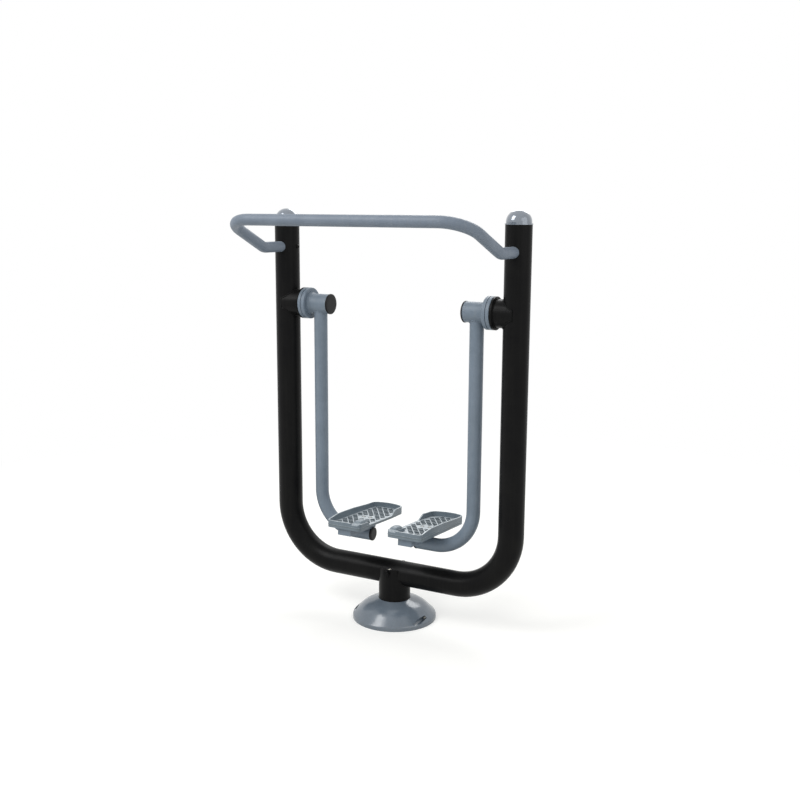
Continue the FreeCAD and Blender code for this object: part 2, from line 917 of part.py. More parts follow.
def make_axle_small_parts():
    journal = s.shaft_dia / 2 + s.bearing_fit
    spacer = turned("bearing_spacer_right", ring_profile(
        journal, s.shoulder_dia / 2, s.bearing_one + s.bearing_width, s.bearing_two))
    pair("bearing_spacer", on_axle(spacer))
    low = s.bearing_two + s.bearing_width
    high = low + s.axle_washer_thick
    thread = s.thread_dia / 2 + s.shaft_fit
    washer = turned("axle_washer_right", ring_profile(thread, s.shoulder_dia / 2, low, high))
    pair("axle_washer", on_axle(washer))
    nut = new_body("axle_nut_right")
    sketch = new_sketch(nut, "XY_Plane", high)
    outline(sketch, hexagon(s.axle_nut_size))
    circle(sketch, thread)
    pad(nut, sketch, s.axle_nut_thick)
    pair("axle_nut", on_axle(nut))
    lip = s.shoulder_dia / 2 + s.seal_lip
    rim = s.bearing_dia / 2 - s.bearing_fit
    seal = turned("hub_seal_right", ring_profile(lip, rim, s.seal_at, s.seal_at + s.seal_width))
    pair("hub_seal", on_axle(seal))


def hub_face():
    return s.stub_reach + s.disc_thick + s.hub_gap


def make_hub():
    face = hub_face()
    flange = s.flange_dia / 2
    back = face + s.flange_thick
    groove_low = face + s.flange_groove_at
    groove_high = groove_low + s.flange_groove_wide
    groove_r = flange - s.flange_groove_deep
    collar = s.collar_dia / 2
    sleeve = s.sleeve_dia / 2
    bore = s.bearing_dia / 2
    shoulder = s.seat_bore / 2
    shoulder_low = s.bearing_one + s.bearing_width
    ring_low = s.bearing_two + s.bearing_width
    ring_high = ring_low + s.ring_groove_wide
    ring_r = bore + s.ring_groove_deep
    edge = s.turned_edge
    body = turned("hub_right", [
        (bore, face), (flange - edge, face), (flange, face + edge), (flange, groove_low),
        (groove_r, groove_low), (groove_r, groove_high), (flange, groove_high), (flange, back - edge),
        (flange - edge, back), (collar, back), (collar, back + s.collar_thick),
        (sleeve, back + s.collar_thick, s.sleeve_round),
        (sleeve, s.sleeve_end), (bore, s.sleeve_end), (bore, ring_high), (ring_r, ring_high),
        (ring_r, ring_low), (bore, ring_low), (bore, s.bearing_two), (shoulder, s.bearing_two),
        (shoulder, shoulder_low), (bore, shoulder_low)])
    slot = new_sketch(body, "XZ_Plane")
    near = s.stop_pitch - s.slot_width / 2
    far = s.stop_pitch + s.slot_width / 2
    outline(slot, [(near, face - s.hub_gap), (far, face - s.hub_gap),
                   (far, face + s.slot_depth), (near, face + s.slot_depth)])
    buffer_r = number(s.buffer_dia) / 2 + number(s.stop_gap)
    half_turn = number(s.swing_limit) + math.degrees(math.asin(buffer_r / number(s.stop_pitch)))
    beyond = "asin((sizes.buffer_dia / 2 + sizes.stop_gap) / sizes.stop_pitch) / 1deg"
    groove(body, slot, Size(2 * half_turn, "2 * (sizes.swing_limit + %s)" % beyond), both=True)
    pair("hub", on_axle(body))


def make_circlip():
    low = s.bearing_two + s.bearing_width + s.ring_groove_wide - s.ring_thick
    bore = s.bearing_dia / 2
    outer = bore + s.ring_groove_deep - s.weld_gap
    body = turned("circlip_right", ring_profile(outer - s.ring_width, outer, low - s.shaft_fit,
                                                low + s.ring_thick - s.shaft_fit))
    cut = new_sketch(body, "XY_Plane", low)
    half = s.ring_opening / 2
    outline(cut, [(-bore * 2, -half), (0, -half), (0, half), (-bore * 2, half)])
    pocket(body, cut, s.ring_thick * 4, both=True)
    pair("circlip", on_axle(body))


def make_hub_cap():
    low = s.sleeve_end
    high = low + s.hub_cap_thick
    edge = s.hub_cap_dia / 2
    plug = s.bearing_dia / 2 - s.cap_fit
    bore = plug - s.hub_cap_wall
    floor = high - s.hub_cap_wall
    body = turned("hub_cap_right", [
        (0, floor), (bore, floor), (bore, low - s.hub_cap_spigot), (plug, low - s.hub_cap_spigot),
        (plug, low), (edge, low), (edge, high - s.hub_cap_wall),
        (edge - s.hub_cap_wall, high - s.hub_cap_crown), (s.hub_cap_flat / 2, high), (0, high)])
    pair("hub_cap", on_axle(body))


# Arm and footplate, right-hand side

def make_arm():
    body = new_body("swing_arm_right")
    start = s.axle_height - s.arm_tuck
    path = new_sketch(body, "XZ_Plane")
    run_of(path, [(s.arm_reach, start), (s.arm_reach, s.foot_height, s.arm_bend),
                  (s.foot_end, s.foot_height)], closed=False)
    section = new_sketch(body, "XY_Plane", start)
    circle(section, s.arm_tube / 2, s.arm_reach, 0)
    circle(section, s.arm_tube / 2 - s.arm_wall, s.arm_reach, 0)
    doc.recompute()
    sweep(body, section, path)
    sleeve = new_sketch(body, "YZ_Plane")
    circle(sleeve, s.sleeve_dia / 2 + s.weld_gap, 0, s.axle_height)
    pocket(body, sleeve, s.post_spacing, both=True)
    pair("swing_arm", body)


def make_arm_plug():
    inner = s.arm_tube / 2 - s.arm_wall - s.plug_fit
    head = s.plug_dia / 2
    body = turned("arm_plug_right", [
        (0, -s.plug_head), (s.plug_flat / 2, -s.plug_head), (head, -s.plug_head + s.plug_edge),
        (head, 0), (inner, 0), (inner, s.plug_depth), (inner - s.arm_wall, s.plug_depth),
        (inner - s.arm_wall, 0), (0, 0)])
    place(body, s.foot_end, 0, s.foot_height, Rotation(Vector(0, 1, 0), 90))
    pair("arm_plug", body)


def on_foot(body):
    tilt = Rotation(Vector(-1, 0, 0), number(s.pedal_tilt))
    place(body, 0, 0, s.foot_height, tilt)
    bind(body, "Placement.Rotation.Angle", s.pedal_tilt)
    return body


def make_carrier():
    body = new_body("pedal_carrier_right")
    shape = new_sketch(body, "XY_Plane", s.carrier_low)
    near, far = s.carrier_near, s.carrier_far
    front, rear = -s.carrier_front, s.carrier_back
    outline(shape, [(near, front), (far, front), (far, rear), (near, rear)])
    pad(body, shape, s.pedal_base - s.carrier_low)
    inside = new_sketch(body, "XY_Plane", s.carrier_low)
    wall = s.carrier_wall
    outline(inside, [(near + wall, front + wall), (far - wall, front + wall),
                     (far - wall, rear - wall), (near + wall, rear - wall)])
    pocket(body, inside, s.pedal_base - s.carrier_low - wall, back=True)
    tube = new_sketch(body, "YZ_Plane")
    circle(tube, s.arm_tube / 2 + s.weld_gap)
    pocket(body, tube, s.post_spacing, both=True)
    holes = new_sketch(body, "XY_Plane", s.pedal_base)
    bolt_circles(holes, s.pedal_bolt / 2 + s.pedal_bolt_play)
    pocket(body, holes, s.carrier_wall * 2)
    pair("pedal_carrier", on_foot(body))


def bolt_spots():
    middle = (s.carrier_near + s.carrier_far) / 2
    centre = (s.carrier_back - s.carrier_front) / 2
    spots = []
    for across in (-1, 1):
        for along in (-1, 1):
            x = middle + s.pedal_bolt_across * across / 2
            y = centre + s.pedal_bolt_along * along / 2
            spots.append((x, y))
    return spots


def bolt_circles(sketch, radius):
    for x, y in bolt_spots():
        circle(sketch, radius, x, y)


def pedal_sides(inset):
    # the footplate seen from above, toe at -Y, from the toe's outer corner round to the arch
    return [(s.toe_side - inset, -s.toe_line + inset, s.toe_round - inset),
            (s.outer_side - inset, s.outer_line, s.outer_round),
            (s.heel_outer - inset, s.heel_outer_line - inset, s.heel_outer_corner - inset),
            (s.heel_middle, s.heel_line - inset, s.heel_round - inset),
            (s.heel_inner + inset, s.heel_inner_line - inset, s.heel_inner_corner - inset),
            (s.inner_side + inset, s.arch_line, s.arch_round)]


def pedal_outline():
    return pedal_sides(Size(0, "0")) + [(s.inner_side, -s.toe_line, s.lobe_corner)]


def pedal_inside(inset, clearance):
    # the tread's own outline, which leaves the lobe at the toe's inner corner out
    side = s.lobe_side + clearance
    back = clearance - s.lobe_back
    return pedal_sides(inset) + [(s.inner_side + inset, back), (side, back), (side, -s.toe_line + inset)]


def tread_cells():
    # diamond cells that lie wholly inside the tread and clear of the bolt seats
    edges = pedal_inside(s.pedal_wall + s.cell_margin, s.cell_margin)
    inside = [Vector(number(c[0]), number(c[1]), 0) for c in edges]
    across = number(s.cell_across) / 2
    along = number(s.cell_along) / 2
    slant = across * along / math.hypot(across, along)
    shrink = 1 - number(s.cell_rib) / 2 / slant
    seats = [(number(x), number(y)) for x, y in bolt_spots()]
    clear = number(s.boss_dia) / 2 + number(s.seat_margin)
    middle = (number(s.carrier_near) + number(s.carrier_far)) / 2
    cells = []
    rows = int(number(s.heel_line) / along) + 1
    columns = int(number(s.outer_side) / across) + 1
    for row in range(-rows, rows + 1):
        for column in range(-columns, columns + 1):
            if (row + column) % 2:
                continue
            x = middle + column * across
            y = row * along
            wide = across * shrink
            deep = along * shrink
            tips = [Vector(x + wide, y, 0), Vector(x, y + deep, 0),
                    Vector(x - wide, y, 0), Vector(x, y - deep, 0)]
            near_seat = any(gap_to(seat, tips) < clear for seat in seats)
            if all(holds(inside, tip) for tip in tips) and not near_seat:
                cells.append(tips)
    return cells


def holds(polygon, point):
    inside = False
    for a, b in zip(polygon, polygon[1:] + polygon[:1]):
        if (a.y > point.y) != (b.y > point.y):
            cross = a.x + (point.y - a.y) * (b.x - a.x) / (b.y - a.y)
            if point.x < cross:
                inside = not inside
    return inside


def gap_to(spot, tips):
    # distance from a bolt's centre to a cell's edge, zero inside the cell
    centre = Vector(spot[0], spot[1], 0)
    if holds(tips, centre):
        return 0
    wire = Part.makePolygon(tips + tips[:1])
    return wire.distToShape(Part.Vertex(centre))[0]


def make_pedal():
    body = new_body("pedal_right")
    inside = pedal_inside(s.pedal_wall, Size(0, "0"))
    plate = new_sketch(body, "XY_Plane", s.pedal_base)
    outline(plate, pedal_outline())
    pad(body, plate, s.tread_top - s.pedal_base)
    rim = new_sketch(body, "XY_Plane", s.tread_top)
    outline(rim, pedal_outline())
    outline(rim, inside)
    pad(body, rim, s.rim_peak - s.tread_top)
    shape_rim(body)
    open_arch(body)
    add_lobe(body)

    cells = new_sketch(body, "XY_Plane", s.tread_top)
    for tips in tread_cells():
        for a, b in zip(tips, tips[1:] + tips[:1]):
            cells.addGeometry(Part.LineSegment(a, b), False)
    pocket(body, cells, s.cell_depth)

    under = new_sketch(body, "XY_Plane", s.pedal_base)
    outline(under, inside)
    bolt_circles(under, s.boss_dia / 2)
    pocket(body, under, pedal_underside() - s.pedal_base, back=True)
    seats = new_sketch(body, "XY_Plane", s.tread_top)
    bolt_circles(seats, s.pedal_bolt_head / 2 + s.pedal_bolt_play)
    pocket(body, seats, s.pedal_bolt_sink)
    holes = new_sketch(body, "XY_Plane", s.tread_top)
    bolt_circles(holes, s.pedal_bolt / 2 + s.pedal_bolt_play)
    pocket(body, holes, s.rim_heel)
    pair("pedal", on_foot(body))


def pedal_underside():
    return s.tread_top - s.cell_depth - s.pedal_floor


def shape_rim(body):
    # the wall is low at the toe, highest beside the ball of the foot and lower again at the heel
    over = s.rim_peak * 2
    beyond = s.heel_line * 2
    side = new_sketch(body, "YZ_Plane")
    outline(side, [(-beyond, s.rim_toe), (-s.toe_line, s.rim_toe, s.rim_round),
                   (-s.rim_rise_line, s.rim_peak, s.rim_round), (s.rim_fall_line, s.rim_peak, s.rim_round),
                   (s.rim_heel_line, s.rim_heel, s.rim_round), (beyond, s.rim_heel), (beyond, over),
                   (-beyond, over)])
    pocket(body, side, s.post_spacing, both=True)


def open_arch(body):
    # no wall along the arch, and no skirt below it
    over = s.rim_peak * 2
    top = new_sketch(body, "YZ_Plane")
    outline(top, [(-s.lobe_back, s.tread_top), (s.arch_end, s.tread_top, s.arch_corner),
                  (s.arch_end + s.arch_rise, s.arch_top), (s.arch_end + s.arch_rise, over),
                  (-s.lobe_back, over)])
    pocket(body, top, s.lobe_side, back=True)
    low = new_sketch(body, "YZ_Plane")
    outline(low, [(-s.lobe_back, 0), (s.heel_line, 0), (s.heel_line, pedal_underside()),
                  (-s.lobe_back, pedal_underside())])
    pocket(body, low, s.inner_side + s.pedal_wall * 2, back=True)


def add_lobe(body):
    # a block on the toe's inner corner, rounded from front to rear and from side to side
    toe = -s.toe_line
    lobe = new_sketch(body, "XY_Plane", s.tread_top)
    outline(lobe, [(s.lobe_side, toe), (s.lobe_side, -s.lobe_back), (s.inner_side, -s.lobe_back),
                   (s.inner_side, toe, s.lobe_corner)])
    pad(body, lobe, s.lobe_top - s.tread_top)
    over = s.rim_peak * 2
    crest = new_sketch(body, "YZ_Plane")
    outline(crest, [(toe, s.lobe_front), (toe + s.lobe_slope, s.lobe_top, s.lobe_front_round),
                    (-s.lobe_rear, s.lobe_top, s.lobe_rear_round), (-s.lobe_back, s.tread_top),
                    (-s.lobe_back, over), (toe, over)])
    pocket(body, crest, s.lobe_side, back=True)
    slope = new_sketch(body, "XZ_Plane")
    outline(slope, [(s.inner_side, s.lobe_inner), (s.lobe_crest_side, s.lobe_top, s.lobe_crest_round),
                    (s.lobe_side, s.lobe_outer), (s.lobe_side, over), (s.inner_side, over)])
    pocket(body, slope, s.toe_line, back=True)


def make_pedal_fixings():
    bolts = []
    nuts = []
    head_low = s.tread_top - s.pedal_bolt_sink
    head_high = head_low + s.pedal_bolt_head_thick
    head_r = s.pedal_bolt_head / 2
    shank = s.pedal_bolt / 2
    web = s.pedal_base - s.carrier_wall
    nut_low = web - s.pedal_nut_thick
    end = nut_low - s.pedal_bolt_tail
    for i, (x, y) in enumerate(bolt_spots()):
        bolt = turned("pedal_bolt_%d" % i, [
            (0, end), (shank, end), (shank, head_low), (head_r, head_low),
            (head_r, head_low + s.pedal_bolt_edge), (s.pedal_bolt_flat / 2, head_high), (0, head_high)])
        nut = new_body("pedal_nut_%d" % i)
        sketch = new_sketch(nut, "XY_Plane", nut_low)
        outline(sketch, hexagon(s.pedal_nut_size))
        circle(sketch, shank + s.shaft_fit)
        pad(nut, sketch, s.pedal_nut_thick)
        for piece in (bolt, nut):
            place(piece, x, y, 0)
        bolts.append(bolt)
        nuts.append(nut)
    for name, items in (("pedal_bolts", bolts), ("pedal_nuts", nuts)):
        right = group(name + "_right", items)
        on_foot(right)
        mirrored(name + "_left", right)


def check_document():
    for item in doc.Objects:
        if "Invalid" in item.State or "Error" in item.State:
            raise RuntimeError("%s has failed" % item.Label)
    for label, item in nodes.items():
        if item.Shape.isNull() or not item.Shape.isValid() or not item.Shape.Solids:
            raise RuntimeError("%s has no good shape" % label)


def write_parts():
    os.makedirs("parts", exist_ok=True)
    for label, item in nodes.items():
        item.Shape.exportStep("parts/%s.step" % label)


make_base_plate()
make_gussets()
make_column()
make_frame_spacers()
make_frame_bolt()
make_cover_half("base_cover_front", True)
make_cover_half("base_cover_rear", False)
make_cover_screws()
make_main_frame()
make_post_cap()
make_handlebar()
make_handlebar_fixings()
make_axle_stub()
make_axle_disc()
make_stop()
make_shaft()
make_bearings()
make_axle_small_parts()
make_hub()
make_circlip()
make_hub_cap()
make_arm()
make_arm_plug()
make_carrier()
make_pedal()
make_pedal_fixings()
doc.recompute()
check_document()
write_parts()
for label, item in sorted(nodes.items()):
    print("%-22s %d solids %10.0f mm3" % (label, len(item.Shape.Solids), item.Shape.Volume))
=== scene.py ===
import json
import math

import bmesh
import bpy
from mathutils import Matrix, Vector


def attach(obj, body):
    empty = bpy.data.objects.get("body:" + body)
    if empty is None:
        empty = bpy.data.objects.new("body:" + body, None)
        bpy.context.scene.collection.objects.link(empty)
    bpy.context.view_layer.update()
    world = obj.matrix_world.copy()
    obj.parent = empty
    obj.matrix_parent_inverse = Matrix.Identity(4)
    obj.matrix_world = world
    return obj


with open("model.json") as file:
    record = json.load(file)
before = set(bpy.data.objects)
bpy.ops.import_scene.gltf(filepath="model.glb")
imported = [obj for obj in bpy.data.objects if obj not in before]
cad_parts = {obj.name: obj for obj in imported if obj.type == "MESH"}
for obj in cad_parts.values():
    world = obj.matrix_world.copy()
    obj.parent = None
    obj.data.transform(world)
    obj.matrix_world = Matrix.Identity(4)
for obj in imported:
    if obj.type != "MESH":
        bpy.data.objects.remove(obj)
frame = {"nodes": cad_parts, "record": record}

scene = bpy.context.scene
nodes = frame["nodes"]
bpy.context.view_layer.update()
sides = (("right", 1), ("left", -1))
mm = 0.001


# colours are sRGB hex, turned to linear here
def fromHex(text, alpha=1.0):
    values = [int(text[i:i + 2], 16) / 255 for i in (1, 3, 5)]
    linear = [v / 12.92 if v <= 0.04045 else ((v + 0.055) / 1.055) ** 2.4 for v in values]
    return (*linear, alpha)


# a node with its settings and links; a link is (node, output)
def addNode(tree, kind, settings=None, links=None):
    made = tree.nodes.new("ShaderNode" + kind)
    for name, value in (settings or {}).items():
        if isinstance(name, str) and name in made.bl_rna.properties:
            setattr(made, name, value)
        else:
            made.inputs[name].default_value = value
    for name, (source, output) in (links or {}).items():
        tree.links.new(source.outputs[output], made.inputs[name])
    return made


# repeats per metre for a pattern whose real size is given in millimetres
def everyMm(size):
    return 1000.0 / size


def newMaterial(name):
    material = bpy.data.materials.new(name)
    material.use_nodes = True
    tree = material.node_tree
    shader = tree.nodes["Principled BSDF"]
    place = addNode(tree, "TexCoord")
    return material, tree, shader, place


# how much fine detail a noise carries
cloudy = {"Detail": 3.0, "Roughness": 0.6}
smooth = {"Detail": 2.0}
spotty = {"Detail": 5.0, "Roughness": 0.7}
lively = {"Detail": 5.0}

# typical IOR of the paint's binder and of the plastics
paintIor = 1.5
nylonIor = 1.53
rubberIor = 1.52


# Polyester powder coat, sprayed dry and baked on steel tube: an even satin skin whose
# orange peel breaks up the highlights, faint streaks where rain has run down it,
# a film of dust on what faces up, and a little splashed soil near its foot.
powderCoat = {
    "patchMm": 70.0,        # slow change between the fresh and the faded tone
    "patchFrom": 0.35,
    "patchTo": 0.7,
    "streakAcrossMm": 9.0,
    "streakAlongMm": 260.0,
    "streakFrom": 0.5,
    "streakTo": 0.75,
    "dustFrom": 0.45,       # dust starts where the surface faces up this much
    "dustDulls": 0.5,
    "soil": "#6b5f4c",
    "splashTop": 0.11,      # metres above what the column stands on
    "splashMost": 0.2,
    "splashMm": 4.0,
    "splashFrom": 0.52,
    "splashTo": 0.68,
    "blotchMm": 16.0,       # patches that shine more and less
    "shinier": 0.05,
    "duller": 0.07,
    "peelMm": 4.0,          # real peel is about 1.5 mm, drawn coarser so it shows
    "peelFrom": 0.3,
    "peelTo": 0.7,
    "peelDepth": 0.00018,
    "peelStrength": 0.6,
    "grain": 0.045,         # how far the peel's crests and troughs differ in tone
}


def makePowderCoat(name, look):
    coat = powderCoat
    material, tree, shader, place = newMaterial(name)
    patches = addNode(tree, "TexNoise", {"Scale": everyMm(coat["patchMm"]), **cloudy},
                      {"Vector": (place, "Object")})
    spread = addNode(tree, "MapRange", {"From Min": coat["patchFrom"], "From Max": coat["patchTo"]},
                     {"Value": (patches, "Fac")})
    paint = addNode(tree, "Mix", {"data_type": "RGBA", 6: fromHex(look["base"]), 7: fromHex(look["faded"])},
                    {0: (spread, "Result")})
    # rain streaks: noise squeezed sideways and drawn out along the height
    across = everyMm(coat["streakAcrossMm"])
    along = everyMm(coat["streakAlongMm"])
    drawn = addNode(tree, "Mapping", {"Scale": (across, across, along)}, {"Vector": (place, "Object")})
    streaks = addNode(tree, "TexNoise", {"Scale": 1.0, **smooth}, {"Vector": (drawn, "Vector")})
    run = addNode(tree, "MapRange",
                  {"From Min": coat["streakFrom"], "From Max": coat["streakTo"], "To Max": look["streak"]},
                  {"Value": (streaks, "Fac")})
    washed = addNode(tree, "Mix", {"data_type": "RGBA", 7: fromHex(look["dust"])},
                     {0: (run, "Result"), 6: (paint, 2)})
    # dust settles on what faces up, unevenly
    up = addNode(tree, "SeparateXYZ", None, {"Vector": (place, "Normal")})
    facing = addNode(tree, "MapRange",
                     {"From Min": coat["dustFrom"], "From Max": 1.0, "To Max": look["dustAmount"]},
                     {"Value": (up, "Z")})
    dusty = addNode(tree, "Math", {"operation": "MULTIPLY"}, {0: (facing, "Result"), 1: (spread, "Result")})
    dusted = addNode(tree, "Mix", {"data_type": "RGBA", 7: fromHex(look["dust"])},
                     {0: (dusty, "Value"), 6: (washed, 2)})
    # splashed soil thins out with height
    height = addNode(tree, "SeparateXYZ", None, {"Vector": (place, "Object")})
    low = addNode(tree, "MapRange",
                  {"From Min": coat["splashTop"], "From Max": 0.0, "To Max": coat["splashMost"]},
                  {"Value": (height, "Z")})
    drops = addNode(tree, "TexNoise", {"Scale": everyMm(coat["splashMm"]), **spotty},
                    {"Vector": (place, "Object")})
    spots = addNode(tree, "MapRange", {"From Min": coat["splashFrom"], "From Max": coat["splashTo"]},
                    {"Value": (drops, "Fac")})
    splash = addNode(tree, "Math", {"operation": "MULTIPLY"}, {0: (low, "Result"), 1: (spots, "Result")})
    colour = addNode(tree, "Mix", {"data_type": "RGBA", 7: fromHex(coat["soil"])},
                     {0: (splash, "Value"), 6: (dusted, 2)})
    blotches = addNode(tree, "TexNoise", {"Scale": everyMm(coat["blotchMm"]), "Detail": 4.0},
                       {"Vector": (place, "Object")})
    shine = addNode(tree, "MapRange",
                    {"To Min": look["roughness"] - coat["shinier"],
                     "To Max": look["roughness"] + coat["duller"]},
                    {"Value": (blotches, "Fac")})
    dull = addNode(tree, "Math", {"operation": "MULTIPLY_ADD", 1: coat["dustDulls"]},
                   {0: (dusty, "Value"), 2: (shine, "Result")})
    peel = addNode(tree, "TexNoise", {"Scale": everyMm(coat["peelMm"]), **smooth},
                   {"Vector": (place, "Object")})
    skin = addNode(tree, "Bump", {"Strength": coat["peelStrength"], "Distance": coat["peelDepth"]},
                   {"Height": (peel, "Fac")})
    crests = addNode(tree, "MapRange",
                     {"From Min": coat["peelFrom"], "From Max": coat["peelTo"],
                      "To Min": 1 - coat["grain"], "To Max": 1 + coat["grain"]},
                     {"Value": (peel, "Fac")})
    grained = addNode(tree, "VectorMath", {"operation": "SCALE"},
                      {0: (colour, 2), "Scale": (crests, "Result")})
    tree.links.new(grained.outputs["Vector"], shader.inputs["Base Color"])
    tree.links.new(dull.outputs["Value"], shader.inputs["Roughness"])
    tree.links.new(skin.outputs["Normal"], shader.inputs["Normal"])
    shader.inputs["IOR"].default_value = paintIor
    shader.inputs["Specular IOR Level"].default_value = look["specular"]
    return material


# Sand-cast aluminium under the same grey coat. The sand leaves a fine pebbled grain,
# dirt stays in the tread's cells, and the up-facing tops of the ribs and the rim take a paler tone, partly
# the coat rubbed thin by shoes and partly painted highlight, with near-white scuffs, partly bare metal and
# partly painted highlight.
castCoat = {
    "cloudMm": 60.0,        # slow change between the fresh and the faded tone
    "cloudFrom": 0.35,
    "cloudTo": 0.7,
    "grainMm": 3.2,         # real casting grain is about 0.8 mm, drawn coarser so it shows
    "grainFrom": 0.3,
    "grainTo": 0.7,
    "grainDark": 0.93,
    "grainLight": 1.06,
    "grainDepth": 0.00022,
    "grainStrength": 0.7,
    "poreMm": 9.0,          # small pits stand about this far apart
    "poreEdge": 0.16,
    "shinier": 0.06,
    "duller": 0.08,
    "footHeight": 0.298,    # the footplates' plane, at the foot tube's middle, in metres
    "tilt": 4.0,            # degrees up to the toe
    "cellFloor": 54.0,      # the tread's own levels above that plane, in millimetres
    "treadTop": 58.0,
    "cellRim": 1.5,
    "cellUnder": 1.0,
    "dirtMost": 0.6,
    "dirtDulls": 0.25,
    "scuffAndHighlightMm": 5.0,
    "scuffAndHighlightFrom": 0.46,
    "scuffAndHighlightTo": 0.6,
    "flatFrom": 0.55,       # the paler tone and the scuffs, partly wear and partly painted highlight, start where the surface faces up this much, and are whole from flatTo
    "flatTo": 0.95,
    "topFrom": 0.6,         # and what is this near the top, in millimetres
    "topTo": 0.2,
    "bareShine": 0.5,
}

# soil splashed on the foot cover's rim
coverSplash = {"top": 0.045, "most": 0.35, "dropMm": 6.0, "from": 0.5, "to": 0.68}


